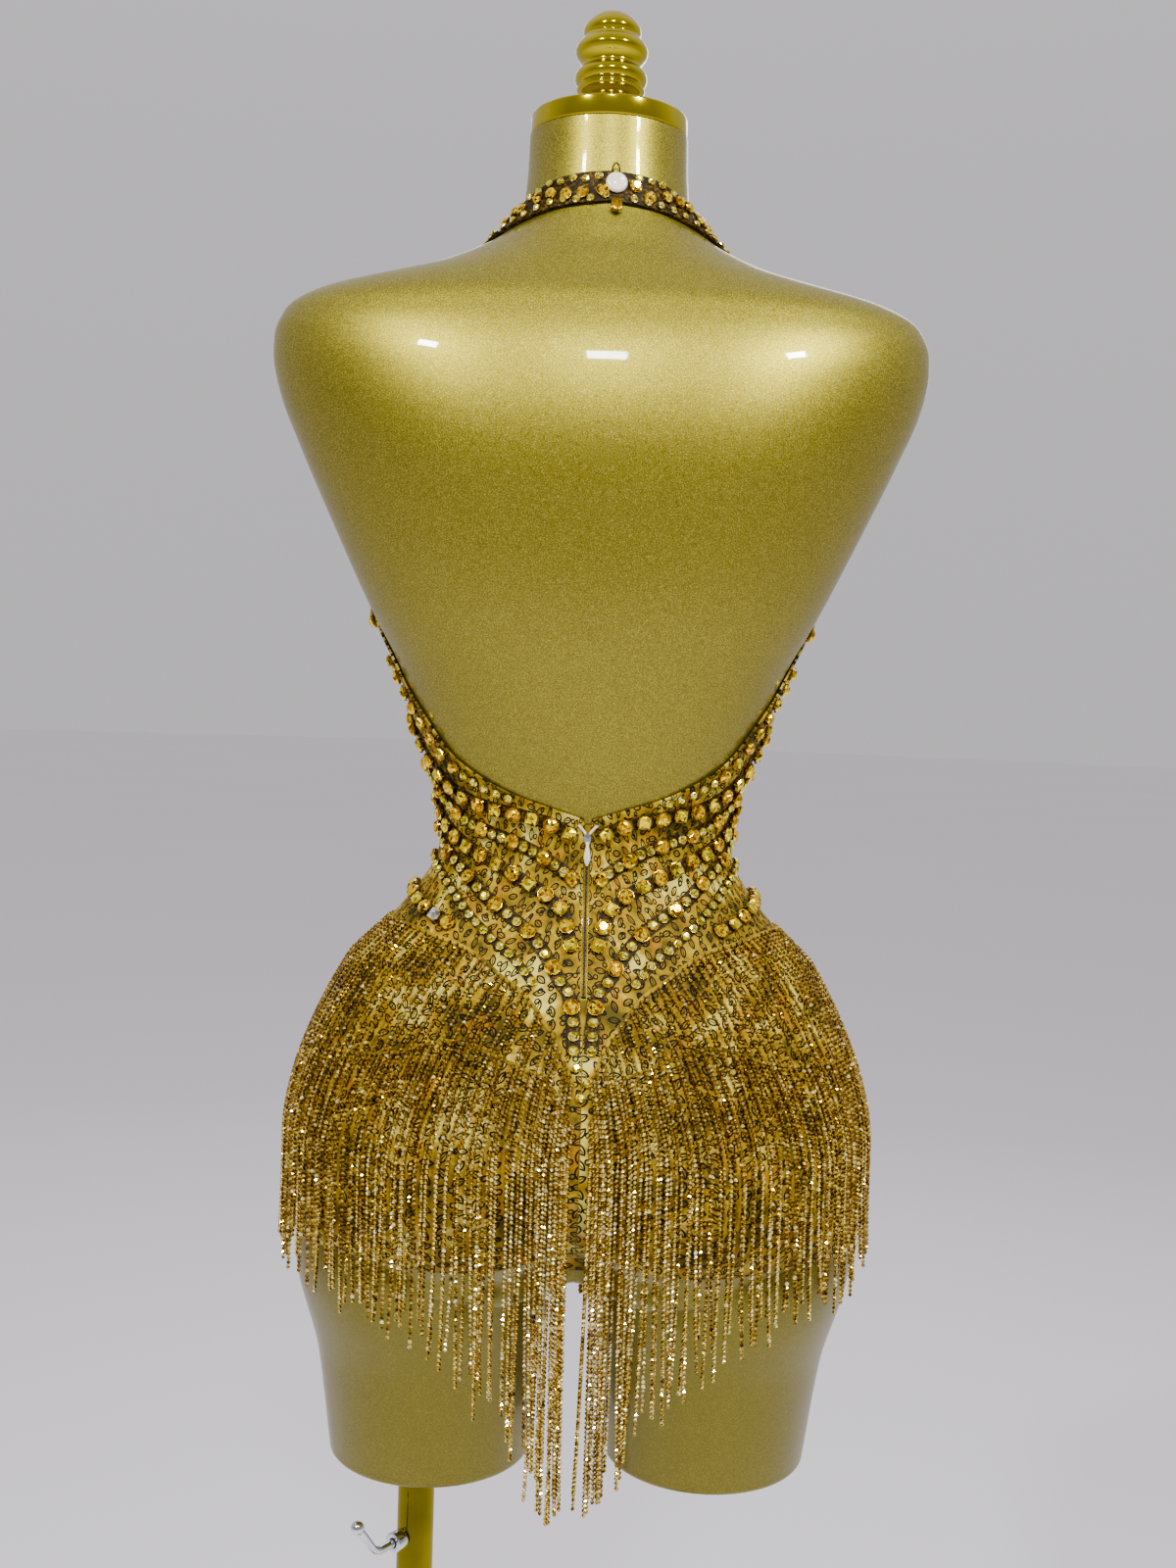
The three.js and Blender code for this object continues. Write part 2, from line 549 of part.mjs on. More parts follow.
function addPanels() {
  for (const [name, side] of SIDES) {
    add(`back_${name}`, wall(mirrorGrid(BACK.outer, side), mirrorGrid(BACK.inner, side)), PRINTED_MESH);
    add(`front_${name}`, wall(mirrorGrid(FRONT.outer, side), mirrorGrid(FRONT.inner, side)), PRINTED_MESH);
  }
}

// The strip that joins back and front between the thighs: it follows the form's two
// valleys and runs straight across between them.
function addGusset() {
  const row = (height, front) => [-1, 0, 1].map((k) => {
    const middle = front ? 180 : 0;
    const beside = formPoint(middle + (front ? -k : k) * QUARTER_TURNS[1], height);
    const at = formPoint(middle, height);
    if (k !== 0) at.lerp(beside, GUSSET.half / Math.abs(beside.x));
    return { at, out: formNormal(middle, height) };
  });
  const bottom = GUSSET.bottomY.map((y) => [-1, 0, 1].map((k) => ({
    at: new THREE.Vector3(k * GUSSET.half, y, GUSSET.under + CLOTH.clear),
    out: new THREE.Vector3(0, 0, -1),
  })));
  const rows = [...GUSSET.steps.map((h) => row(h, false)), ...bottom,
    ...GUSSET.steps.toReversed().map((h) => row(h, true))];
  const grid = (lift) => rows.map((line) => line.map(({ at, out }) => at.clone().addScaledVector(out, lift)));
  add('gusset', wall(grid(CLOTH.clear + CLOTH.thick), grid(CLOTH.clear)), PRINTED_MESH);
}

function addNeckBand() {
  const edge = (table, part) => {
    const place = Math.abs(part) * (table.length - 1);
    const k = Math.min(Math.floor(place), table.length - 2);
    return [0, 1].map((n) => mix(table[k][n], table[k + 1][n], place - k));
  };
  const places = [];
  for (let i = -NECK_BAND_STEPS; i <= NECK_BAND_STEPS; i += 1) {
    const part = i / NECK_BAND_STEPS;
    const [inner, outer] = [edge(BAND_INNER_EDGE, part), edge(BAND_OUTER_EDGE, part)];
    places.push([0, 0.5, 1].map((across) => [
      Math.sign(part) * mix(inner[0], outer[0], across), mix(inner[1], outer[1], across)]));
  }
  const stone = (i, k) => (k === 1 && i % 2 === 1 && Math.abs(i - NECK_BAND_STEPS) > 1 ? NECK_GEM : 0);
  const grid = (lift, stones) => places.map((line, i) => line.map(
    ([turn, height], k) => onForm(turn, height, lift + stones * stone(i, k))));
  add('neck_band', wall(grid(CLOTH.clear + CLOTH.thick, 1), grid(CLOTH.clear, 0)), PRINTED_MESH);
}

// A flat piece that lies on the garment: an outline of [across, up] in the plane that
// touches the form at a place, between two lifts.
function plate(turn, height, outline, low, high) {
  const out = formNormal(turn, height);
  const across = new THREE.Vector3(0, 0, 1).cross(out).normalize();
  const up = out.clone().cross(across);
  const middle = formPoint(turn, height);
  const ring = (lift) => outline.map(([a, b]) => middle.clone().addScaledVector(across, a)
    .addScaledVector(up, b).addScaledVector(out, lift));
  return loft([ring(low), ring(high)]);
}
const circle = (radius, sides) => Array.from({ length: sides }, (_, i) => {
  const angle = (i / sides) * 2 * Math.PI;
  return [radius * Math.cos(angle), radius * Math.sin(angle)];
});
const CLOTH_OUT = CLOTH.clear + CLOTH.thick;

function addNeckFastening() {
  const low = CLOTH_OUT + GAP + BUTTON.shank;
  add('neck_button', plate(BUTTON.turn, BUTTON.height, circle(BUTTON.radius, 20), low, low + BUTTON.thick), CREAM);
  const { half, rise, drop } = HOOK;
  const outline = [[half * 0.6, rise], [-half * 0.6, rise], [-half, 2 - drop], [0, -drop], [half, 2 - drop]];
  add('neck_hook', plate(HOOK.turn, HOOK.height, outline, CLOTH_OUT + GAP, CLOTH_OUT + GAP + HOOK.thick), CHROME);
}

// ---------------------------------------------------------------- the zip

function addZip() {
  const steps = 8;
  const lines = [-1, 1].map((k) => Array.from({ length: steps + 1 }, (_, j) => {
    const height = mix(ZIP.low, ZIP.high, j / steps);
    return [turnAt(k * ZIP.half, height), height];
  }));
  const grid = (lift) => lines.map((line) => line.map(([turn, height]) => onForm(turn, height, lift)));
  add('zip_tape', wall(grid(ZIP.lift + ZIP.thick), grid(ZIP.lift)), BLACK_RUBBER);

  const level = (height) => formPoint(0, height).y;
  const box = (half, low, high, near, far) => {
    const ring = (y) => [[-half, low], [half, low], [half, high], [-half, high]].map(([x, z]) => new THREE.Vector3(x, y, z));
    return loft([ring(near), ring(far)]);
  };
  const low = SLIDER.height - SLIDER.tall / 2;
  const high = SLIDER.height + SLIDER.tall / 2;
  const seat = Math.min(level(low), level(high)) - ZIP.lift - ZIP.thick - GAP;
  add('zip_slider', box(SLIDER.half, low, high, seat, seat - SLIDER.thick), CHROME);

  const { pivot, head, tall, wide, neck, thick } = TAB;
  const near = seat - SLIDER.thick - GAP;
  const edge = [[neck / 2, head], [neck / 2, -1.5], [wide / 2, -tall * 0.48], [wide / 2 - 0.3, -tall * 0.75],
    [neck / 3, head - tall]];
  const outline = [...edge, ...edge.toReversed().map(([x, z]) => [-x, z])];
  const ring = (y) => outline.map(([x, z]) => new THREE.Vector3(x, y, pivot + z));
  add('zip_pull_tab', loft([ring(near), ring(near - thick)]), CREAM);
}

// ---------------------------------------------------------------- gem bands

// Stations at one pitch along a track of points.
function evenly(track, pitch) {
  const lengths = [0];
  for (let k = 1; k < track.length; k += 1) {
    lengths.push(lengths[k - 1] + track[k].point.distanceTo(track[k - 1].point));
  }
  const total = lengths[lengths.length - 1];
  const count = Math.max(2, Math.round(total / pitch));
  const stations = [];
  let k = 0;
  for (let n = 0; n <= count; n += 1) {
    const at = (total * n) / count;
    while (k < track.length - 2 && lengths[k + 1] < at) k += 1;
    const [a, b] = [track[k], track[k + 1]];
    const across = (at - lengths[k]) / (lengths[k + 1] - lengths[k]);
    const part = a.panel === b.panel ? across : Math.round(across);
    stations.push({ u: mix(a.u, b.u, part), v: mix(a.v, b.v, part), panel: part < 0.5 ? a.panel : b.panel,
      turn: mix(a.turn, b.turn, part) });
  }
  return stations;
}

// A track on the panels through rows of turn and height.
function trackThrough(rows, steps = 120) {
  const track = [];
  for (let n = 0; n <= steps; n += 1) {
    const turn = mix(rows[0][0], rows[rows.length - 1][0], n / steps);
    const height = curve(rows, 1, turn);
    const panel = turn < 90 ? BACK : FRONT;
    const [u, v] = findOnPanel(panel, turn, height);
    track.push({ panel, u, v, turn, point: abovePanel(panel, u, v, 0).point });
  }
  return track;
}

// A flat ribbon over stations on the panels; its outer middle stands up where a gem is set.
function ribbon(stations, { wide, lift, thick, gem = 0 }, side) {
  const seats = stations.map(({ panel, u, v }) => abovePanel(panel, u, v, lift));
  const rings = seats.map(({ point, normal }, n) => {
    const ahead = seats[Math.min(n + 1, seats.length - 1)].point;
    const behind = seats[Math.max(n - 1, 0)].point;
    const across = normal.clone().cross(ahead.clone().sub(behind)).normalize().multiplyScalar(wide / 2);
    const raised = n % 2 === 1 && n < seats.length - 1;
    const corner = (k, out) => point.clone().addScaledVector(across, k).addScaledVector(normal, out);
    return [corner(-1, 0), corner(1, 0), corner(1, thick), corner(0, thick + (raised ? gem : 0)), corner(-1, thick)]
      .map((p) => mirrored(p, side));
  });
  return loft(rings);
}

const withMirror = (rows) => [...rows, ...rows.slice(0, -1).reverse().map(([turn, height]) => [180 - turn, height])];

function addBands() {
  for (const [name, side] of SIDES) {
    for (const [place, band] of Object.entries(BANDS)) {
      const stations = evenly(trackThrough(withMirror(band.rows)), band.pitch);
      add(`band_${place}_${name}`, ribbon(stations, RIBBON, side), BAND_RIBBON);
    }
    const breast = evenly(trackThrough(BREAST_BAND.rows), BREAST_BAND.pitch);
    add(`band_breast_${name}`, ribbon(breast, RIBBON, side), BAND_RIBBON);
    for (const [edge, inward] of [['neckline', -1], ['armhole', 1]]) {
      const from = FRONT.level + (edge === 'neckline' ? EDGE_BAND.low / FRONT.rows : EDGE_BAND.start);
      const track = [];
      for (let n = 0; n <= 60; n += 1) {
        const v = mix(from, EDGE_BAND.end, n / 60);
        const [near, far] = [abovePanel(FRONT, 0, v, 0).point, abovePanel(FRONT, 1, v, 0).point];
        const inset = EDGE_BAND.inset / near.distanceTo(far);
        const u = inward > 0 ? inset : 1 - inset;
        track.push({ panel: FRONT, u, v, turn: 0, point: abovePanel(FRONT, u, v, 0).point });
      }
      add(`band_${edge}_${name}`, ribbon(evenly(track, EDGE_BAND.pitch), RIBBON, side), BAND_RIBBON);
    }
  }
}

// ---------------------------------------------------------------- chain fringe

// One chain: a thin three-sided rod from inside its strip, over the hip and straight down.
function strand(turn, rootHeight, drape) {
  const panel = turn < 90 ? BACK : FRONT;
  const over = (height, lift) => {
    const [u, v] = findOnPanel(panel, turn, height);
    return abovePanel(panel, u, v, lift);
  };
  const heights = [rootHeight - STRAND.fall, ...STRAND.stops.filter((stop) => stop < rootHeight - STRAND.fall - 8),
    STRAND.hang].filter((height) => height >= STRAND.hang);
  const stops = [over(rootHeight, STRAND.root), ...heights.map((height) => over(height, drape))];
  const last = stops[stops.length - 1];
  stops.push({ point: last.point.clone().setZ(curve(FRINGE_ENDS, 1, turn)), normal: last.normal });
  return loft(stops.map(({ point, normal }) => {
    const out = normal.clone().setZ(0).normalize();
    const across = new THREE.Vector3(0, 0, 1).cross(out);
    return [[1, 0], [-0.5, 0.87], [-0.5, -0.87]].map(([a, b]) => point.clone()
      .addScaledVector(out, a * STRAND.radius).addScaledVector(across, b * STRAND.radius));
  }));
}

function addFringe() {
  for (const [row, { count, shift, drape, rows }] of Object.entries(FRINGE_LINES)) {
    for (const [place, flip] of [['back', false], ['front', true]]) {
      const line = flip ? rows.map(([turn, height]) => [180 - turn, height]).reverse() : rows;
      const track = trackThrough(line);
      const strip = ribbon(evenly(track, STRIP.pitch), STRIP, 1);
      const span = evenly(track, track[0].point.distanceTo(track[1].point) * 0.5);
      const strands = Array.from({ length: count }, (_, n) => {
        const station = span[Math.round(((n + shift) / count) * (span.length - 1))];
        return strand(station.turn, curve(line, 1, station.turn), drape);
      });
      const fringe = joined([strip, ...strands]);
      for (const [name, side] of SIDES) {
        const copy = fringe.clone();
        if (side < 0) {
          copy.scale(-1, 1, 1);
          copy.setIndex(Array.from(copy.index.array).reverse());
        }
        add(`fringe_${row}_${place}_${name}`, copy, CHAIN);
      }
    }
  }
}

addStand();
addClamp();
addForm();
addPanels();
addGusset();
addNeckBand();
addNeckFastening();
addZip();
addBands();
addFringe();

export default model;
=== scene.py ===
# %% [markdown]
# # A rhinestone bodysuit on its dress form
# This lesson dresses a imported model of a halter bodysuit: printed stretch mesh, dark bands
# set with amber stones, and two rows of fine rhinestone chain, on a pearl-painted form.
# Every surface is a formula of two parameters, worked out with numpy as whole arrays.
# Sizes are in millimetres here, and become metres when a mesh is made.

# %% Load the fixed frame
import itertools
import math
import bpy
import numpy as np
from mathutils import Matrix, Vector


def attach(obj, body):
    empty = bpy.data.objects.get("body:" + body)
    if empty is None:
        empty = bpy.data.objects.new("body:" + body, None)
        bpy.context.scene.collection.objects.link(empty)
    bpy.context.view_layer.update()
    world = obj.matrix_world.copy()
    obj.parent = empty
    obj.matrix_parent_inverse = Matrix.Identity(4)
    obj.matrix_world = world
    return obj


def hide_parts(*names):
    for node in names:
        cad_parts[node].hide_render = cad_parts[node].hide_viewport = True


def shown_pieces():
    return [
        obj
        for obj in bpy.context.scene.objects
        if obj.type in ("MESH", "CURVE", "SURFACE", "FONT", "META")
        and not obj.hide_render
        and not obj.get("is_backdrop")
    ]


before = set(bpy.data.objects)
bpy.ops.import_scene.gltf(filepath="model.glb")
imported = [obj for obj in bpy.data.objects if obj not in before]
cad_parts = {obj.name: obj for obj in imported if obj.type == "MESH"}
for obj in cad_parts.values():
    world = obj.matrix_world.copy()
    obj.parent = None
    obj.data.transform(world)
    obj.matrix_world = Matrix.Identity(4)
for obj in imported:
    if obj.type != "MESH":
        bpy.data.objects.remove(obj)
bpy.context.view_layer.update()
MM = 0.001
rng = np.random.default_rng(29)

# %% [markdown]
# ## Camera
# The camera stands about a metre behind the garment at breast height, tips down a little
# and is rolled by two degrees. Its axes are worked out first, and the matrix takes them as
# columns, which is plainer than a chain of rotations.

# %% Camera
IMAGE_TALL = 1600          # pixels
FOCAL = 1660               # pixels
EYE = {"distance": 960, "height": 1211, "azimuth": -1.0, "pitch": 3.62, "roll": 1.9}


def camera_axes(eye):
    """Forward looks at the vertical axis and down by the pitch; right is level; both turn by the roll."""
    azimuth, pitch, roll = (math.radians(eye[k]) for k in ("azimuth", "pitch", "roll"))
    level = Vector((-math.sin(azimuth), math.cos(azimuth), 0))
    forward = level * math.cos(pitch) - Vector((0, 0, math.sin(pitch)))
    right = forward.cross(Vector((0, 0, 1))).normalized()
    up = right.cross(forward)
    return (right * math.cos(roll) + up * math.sin(roll),
            up * math.cos(roll) - right * math.sin(roll), forward)


def make_camera(eye):
    right, up, forward = camera_axes(eye)
    data = bpy.data.cameras.new("camera")
    data.sensor_width = 36
    data.lens = data.sensor_width * FOCAL / IMAGE_TALL
    camera = bpy.data.objects.new("camera", data)
    azimuth = math.radians(eye["azimuth"])
    place = Vector((math.sin(azimuth), -math.cos(azimuth), 0)) * eye["distance"]
    place.z = eye["height"]
    turn = Matrix((right, up, -forward)).transposed()
    camera.matrix_world = Matrix.Translation(place * MM) @ turn.to_4x4()
    bpy.context.scene.collection.objects.link(camera)
    bpy.context.scene.camera = camera
    return camera


camera = make_camera(EYE)
print("camera: lens", round(camera.data.lens, 2), "mm")

# %% [markdown]
# ## Shader sums
# A material is easier to read as sums than as a web of nodes. `Value` wraps one output, and
# its operators add Math nodes; `Finish` holds a material and makes every other node.

# %% Shader helpers
class Value:
    """One output of a node; sums on it add Math nodes."""

    def __init__(self, finish, output):
        self.finish, self.output = finish, output

    def math(self, operation, *values):
        return self.finish.node("ShaderNodeMath", {"operation": operation}, dict(enumerate(values)))

    def __add__(self, other): return self.math("ADD", self, other)
    def __radd__(self, other): return self.math("ADD", other, self)
    def __sub__(self, other): return self.math("SUBTRACT", self, other)
    def __rsub__(self, other): return self.math("SUBTRACT", other, self)
    def __mul__(self, other): return self.math("MULTIPLY", self, other)
    def __rmul__(self, other): return self.math("MULTIPLY", other, self)
    def __truediv__(self, other): return self.math("DIVIDE", self, other)
    def __lt__(self, other): return self.math("LESS_THAN", self, other)
    def __gt__(self, other): return self.math("GREATER_THAN", self, other)
    def __pow__(self, other): return self.math("POWER", self, other)
    def __abs__(self): return self.math("ABSOLUTE", self)
    def fract(self): return self.math("FRACT", self)
    def floor(self): return self.math("FLOOR", self)
    def sin(self): return self.math("SINE", self)
    def cos(self): return self.math("COSINE", self)
    def high(self, other): return self.math("MAXIMUM", self, other)


class Finish:
    """A material; the named values are set on its Principled shader's own sockets."""

    def __init__(self, name, **fixed):
        self.material = bpy.data.materials.new(name)
        self.material.use_nodes = True
        self.nodes = self.material.node_tree.nodes
        self.shader = self.nodes["Principled BSDF"]
        for socket, value in fixed.items():
            self.feed(socket, value)

    def feed(self, socket, value):
        self.plug(self.shader.inputs[socket.replace("_", " ").title().replace("Ior", "IOR")], value)

    def plug(self, socket, value):
        if isinstance(value, Value):
            self.material.node_tree.links.new(value.output, socket)
        else:
            socket.default_value = value

    def node(self, kind, settings=None, values=None, output=0):
        made = self.nodes.new(kind)
        for key, value in (settings or {}).items():
            if key == "stops":
                ramp = made.color_ramp.elements
                while len(ramp) < len(value):
                    ramp.new(0.5)
                for stop, (place, colour) in zip(ramp, value):
                    stop.position, stop.color = place, colour
            else:
                setattr(made, key, value)
        for socket, value in (values or {}).items():
            self.plug(made.inputs[socket], value)
        return Value(self, made.outputs[output])

    def place(self, output="Object"):
        return self.node("ShaderNodeTexCoord", output=output)

    def noise(self, scale, detail, place=None, roughness=0.5):
        where = place or self.place()
        return self.node("ShaderNodeTexNoise", None,
                         {"Vector": where, "Scale": scale, "Detail": detail, "Roughness": roughness})

    def ramp(self, value, *stops):
        return self.node("ShaderNodeValToRGB", {"stops": stops}, {0: value})

    def blend(self, share, a, b):
        return self.node("ShaderNodeMix", {"data_type": "RGBA"}, {0: share, 6: a, 7: b}, 2)

    def bump(self, height, depth, strength):
        """depth is the relief's real height in millimetres."""
        values = {"Height": height, "Distance": depth * MM, "Strength": strength}
        self.feed("normal", self.node("ShaderNodeBump", None, values))

    def attribute(self, name):
        return self.node("ShaderNodeAttribute", {"attribute_name": name}, output="Fac")

    def axes(self, place):
        """The x, y and z of a place, each as a value of its own."""
        split = self.node("ShaderNodeSeparateXYZ", None, {0: place})
        return [Value(self, output) for output in split.output.node.outputs]

    def chance(self, column, row):
        """A random number from 0 to 1 for each cell of a grid."""
        cell = self.node("ShaderNodeCombineXYZ", None, {0: column, 1: row})
        return self.node("ShaderNodeTexWhiteNoise", {"noise_dimensions": "2D"}, {"Vector": cell})


print("shader sums ready")

# %% [markdown]
# ## Colours
# Screens count colour from 0 to 255 along a curve, and shaders take plain amounts of light.
# One helper turns the first into the second, so that colours here can be read as they look.

# %% Colour helpers
def shade(red, green, blue):
    """A colour given as on a screen, 0 to 255, in the linear numbers that a shader takes."""
    def linear(c):
        c = c / 255
        return c / 12.92 if c <= 0.04045 else ((c + 0.055) / 1.055) ** 2.4
    return (linear(red), linear(green), linear(blue), 1.0)


def grey(level):
    """A plain number as the colour that a ramp takes."""
    return (level, level, level, 1.0)


print("half of white on a screen is", round(shade(128, 128, 128)[0], 3), "of its light")

# %% [markdown]
# ## Paint and metals
# The form is sprayed with pearl paint: fine flakes in olive gold under a clear coat. Flakes
# are half a millimetre of noise that swings colour, roughness and slope together. Below the
# hem the paint is darkened as painted shade, for the fringe that keeps light off the thighs.
# Plated pieces are full metal, clouded by a slow noise. The outer tube's gold is mottled much
# darker as painted reflection of dark surroundings, and the claw and chain gold is darkened as
# painted shade round the stones and on the links' downward ends.

# %% Paint and metals
HEM_SHADE = {"low": 0.86, "high": 0.99, "share": 0.55}     # heights in metres


def make_paint():
    finish = Finish("pearl_olive_paint", metallic=0.85, coat_weight=0.3, coat_roughness=0.04)
    flakes = finish.noise(2300, 1)
    cloud = finish.noise(7, 3)
    tone = finish.ramp(flakes, (0.36, shade(104, 94, 8)), (0.55, shade(146, 134, 26)),
                       (0.70, shade(206, 194, 84)))
    clouded = finish.blend(cloud * 0.35, tone, shade(116, 106, 6))
    # Painted shade: below the hem the paint darkens, for the fringe that keeps light off the thighs.
    height = finish.axes(finish.place())[2]
    low = finish.ramp(height, (HEM_SHADE["low"], grey(HEM_SHADE["share"])), (HEM_SHADE["high"], grey(0.0)))
    finish.feed("base_color", finish.blend(low, clouded, shade(84, 76, 0)))
    finish.feed("roughness", 0.3 + flakes * 0.22)
    finish.bump(flakes, 0.02, 0.5)
    return finish


def make_metal(name, light, dark, roughness):
    finish = Finish(name, metallic=1.0)
    cloud = finish.noise(38, 4)
    grain = finish.noise(420, 2)
    finish.feed("base_color", finish.blend(cloud * 0.8, light, dark))
    finish.feed("roughness", roughness + cloud * 0.05 + grain * 0.04)
    finish.bump(cloud, 0.02, 0.3)
    return finish


PAINT = make_paint()
GOLD = make_metal("polished_gold", shade(214, 198, 34), shade(150, 130, 6), 0.06)
# The outer tube's gold is mottled much darker: painted reflection of dark surroundings.
TUBE_GOLD_AND_PAINTED_REFLECTION = make_metal("tube_gold_and_painted_reflection", shade(170, 156, 22), shade(74, 64, 0), 0.05)
CHROME = make_metal("chrome_plate", shade(226, 228, 232), shade(190, 192, 198), 0.07)
# The claw gold is darkened: painted shade round the stones, and the hook takes it too.
CLAW_GOLD_AND_PAINTED_SHADE = make_metal("claw_gold_and_painted_shade", shade(180, 142, 20), shade(84, 60, 4), 0.2)
# The chain gold is darkened: painted shade on the links' downward ends.
CHAIN_GOLD_AND_PAINTED_SHADE = make_metal("champagne_chain_and_painted_shade", shade(158, 122, 26), shade(50, 32, 0), 0.16)


def make_plain(name, grain, light, dark, roughness, relief, **fixed):
    """One noise drives the colour, the roughness and the relief."""
    finish = Finish(name, **fixed)
    cloud = finish.noise(*grain)
    finish.feed("base_color", finish.blend(cloud, shade(*light), shade(*dark)))
    finish.feed("roughness", roughness[0] + cloud * roughness[1])
    finish.bump(cloud, *relief)
    return finish


RUBBER = make_plain("black_bush", (900, 3), (20, 20, 20), (44, 42, 40), (0.55, 0.25), (0.05, 0.6),
                    specular_ior_level=0.35)
ENAMEL = make_plain("cream_enamel", (160, 3), (240, 232, 206), (214, 202, 166), (0.3, 0.12), (0.03, 0.3),
                    coat_weight=0.5, coat_roughness=0.1)
print("paint, metals, rubber and enamel ready")

# %% [markdown]
# ## Stones
# A foiled rhinestone throws back one colour in many strengths, facet by facet. Each facet
# carries a random number called glint, and a ramp turns it into a depth of colour: painted
# highlight on some facets and painted shade on others, so that the sparkle stays when the
# picture is baked. The brighter facets also give out a little of their own colour as light,
# a painted glow.

# %% Stone finishes
# A tone scaled down, for the painted glow of the brighter facets.
def dimmed(tone, share):
    return tuple(share * part for part in shade(*tone)[:3]) + (1.0,)


def make_stone(name, *tones, gloss=0.14):
    """Tones run from the darkest facet to the brightest, at even steps of glint: the stone's colour with
    painted shade at the dark end and painted highlight at the bright end.
    """
    finish = Finish(name, metallic=0.95, coat_weight=0.04, coat_roughness=0.03, roughness=gloss,
                    emission_strength=0.5)
    glint = finish.attribute("glint")
    places = np.linspace(0.0, 1.0, len(tones))
    finish.feed("base_color", finish.ramp(glint, *[(float(p), shade(*t)) for p, t in zip(places, tones)]))
    # Painted glow: the brighter facets give out their own colour as light.
    finish.feed("emission_color", finish.ramp(glint, (0.3, grey(0.0)), (0.8, dimmed(tones[2], 0.3)),
                                              (0.94, dimmed(tones[3], 0.4)), (1.0, shade(*tones[-1]))))
    return finish


AMBER = make_stone("amber_stone", (76, 44, 0), (186, 128, 0), (250, 192, 0), (255, 216, 0), (255, 240, 60))
CITRINE = make_stone("citrine_stone", (92, 70, 0), (196, 158, 0), (248, 216, 0), (255, 234, 0),
                     (255, 246, 90))
PALE = make_stone("pale_stone", (122, 100, 0), (196, 172, 4), (238, 220, 40), (252, 240, 96),
                  (255, 252, 190))
CRYSTAL = make_stone("crystal_stone", (16, 7, 0), (82, 54, 0), (180, 138, 14), (240, 206, 72),
                     (255, 244, 176), gloss=0.1)
WATER = make_stone("clear_stone", (148, 146, 132), (208, 204, 188), (246, 244, 236), (255, 255, 255),
                   gloss=0.12)
print("stones:", [f.material.name for f in (AMBER, CITRINE, PALE, CRYSTAL, WATER)])

# %% [markdown]
# ## Cloth
# The stretch mesh is printed with soft patches of olive, gold, cream and amber, and over
# them a small all-over print in brown ink: leaf outlines and open berries, each in its own
# cell with its own turn. The print reads the piece's own map, which is in metres on the cloth.

# %% Cloth finishes
LEAF = {"cell": 8.0, "length": 3.4, "width": 1.6, "outline": 0.5, "vein": 0.28}
BERRY = {"cell": 6.9, "radius": 1.3, "line": 0.46, "sway": (2.4, 1.7), "left_out": 0.35}


def leaf_print(finish, across, along):
    """Ink where a leaf's outline or its vein passes: a leaf is where two circles overlap."""
    cell, length, width = LEAF["cell"], LEAF["length"], LEAF["width"]
    u, v = across / cell, along / cell
    column = u.floor()
    v = v + column * 0.5
    angle = finish.chance(column, v.floor()) * 6.283
    x, y = (u.fract() - 0.5) * cell, (v.fract() - 0.5) * cell
    along_leaf = x * angle.cos() + y * angle.sin()
    across_leaf = y * angle.cos() - x * angle.sin()
    away = (length ** 2 - width ** 2) / (2 * width)
    reach = abs(across_leaf) + away
    edge = (reach * reach + along_leaf * along_leaf) ** 0.5 - (away + width)
    vein = (abs(across_leaf) < LEAF["vein"]) * (abs(along_leaf) < length * 0.7)
    return (abs(edge) < LEAF["outline"]).high(vein)


def berry_print(finish, across, along):
    """Ink on small rings: one to a cell, moved about inside it; some cells are left empty."""
    cell, (sway_across, sway_along) = BERRY["cell"], BERRY["sway"]
    u, v = across / cell + 0.37, along / cell + 0.21
    shift = finish.chance(u.floor(), v.floor())
    x = (u.fract() - 0.5) * cell + (shift - 0.5) * sway_across
    y = (v.fract() - 0.5) * cell - (shift - 0.5) * sway_along
    ring = (x * x + y * y) ** 0.5
    return (abs(ring - BERRY["radius"]) < BERRY["line"]) * (shift > BERRY["left_out"])


def make_cloth():
    finish = Finish("printed_mesh", specular_ior_level=0.12)
    place = finish.place("UV")
    across, along = (axis * 1000.0 for axis in finish.axes(place)[:2])
    patch = finish.noise(34, 4, place, 0.6)
    warm = finish.noise(58, 3, place, 0.6)
    fleck = finish.noise(420, 3, place)
    ground = finish.ramp(patch, (0.38, shade(80, 68, 2)), (0.46, shade(128, 102, 3)),
                         (0.54, shade(164, 134, 6)), (0.62, shade(212, 196, 88)))
    amber = finish.ramp(warm, (0.54, grey(0.0)), (0.64, grey(1.0)))
    toned = finish.blend(amber * 0.65, ground, shade(172, 116, 0))
    ink = leaf_print(finish, across, along).high(berry_print(finish, across, along))
    worn = finish.ramp(fleck, (0.26, grey(0.0)), (0.36, grey(1.0)))
    finish.feed("base_color", finish.blend(ink * worn, toned, shade(14, 8, 0)))
    finish.feed("roughness", 0.56 + fleck * 0.2)
    holes = ((across * 7.0).sin() * (along * 7.0).sin()) * 0.5 + 0.5
    finish.bump(holes + patch * 2.0, 0.08, 0.6)
    return finish


print("print: leaves every", LEAF["cell"], "mm, berries every", BERRY["cell"], "mm")

# %% [markdown]
# ## Ribbon and plain mesh
# The bands are a dark foil ribbon, worn to gold in flecks. The strips of the fringe and the
# seam allowances are the mesh without its print. Both need only noise at two sizes.

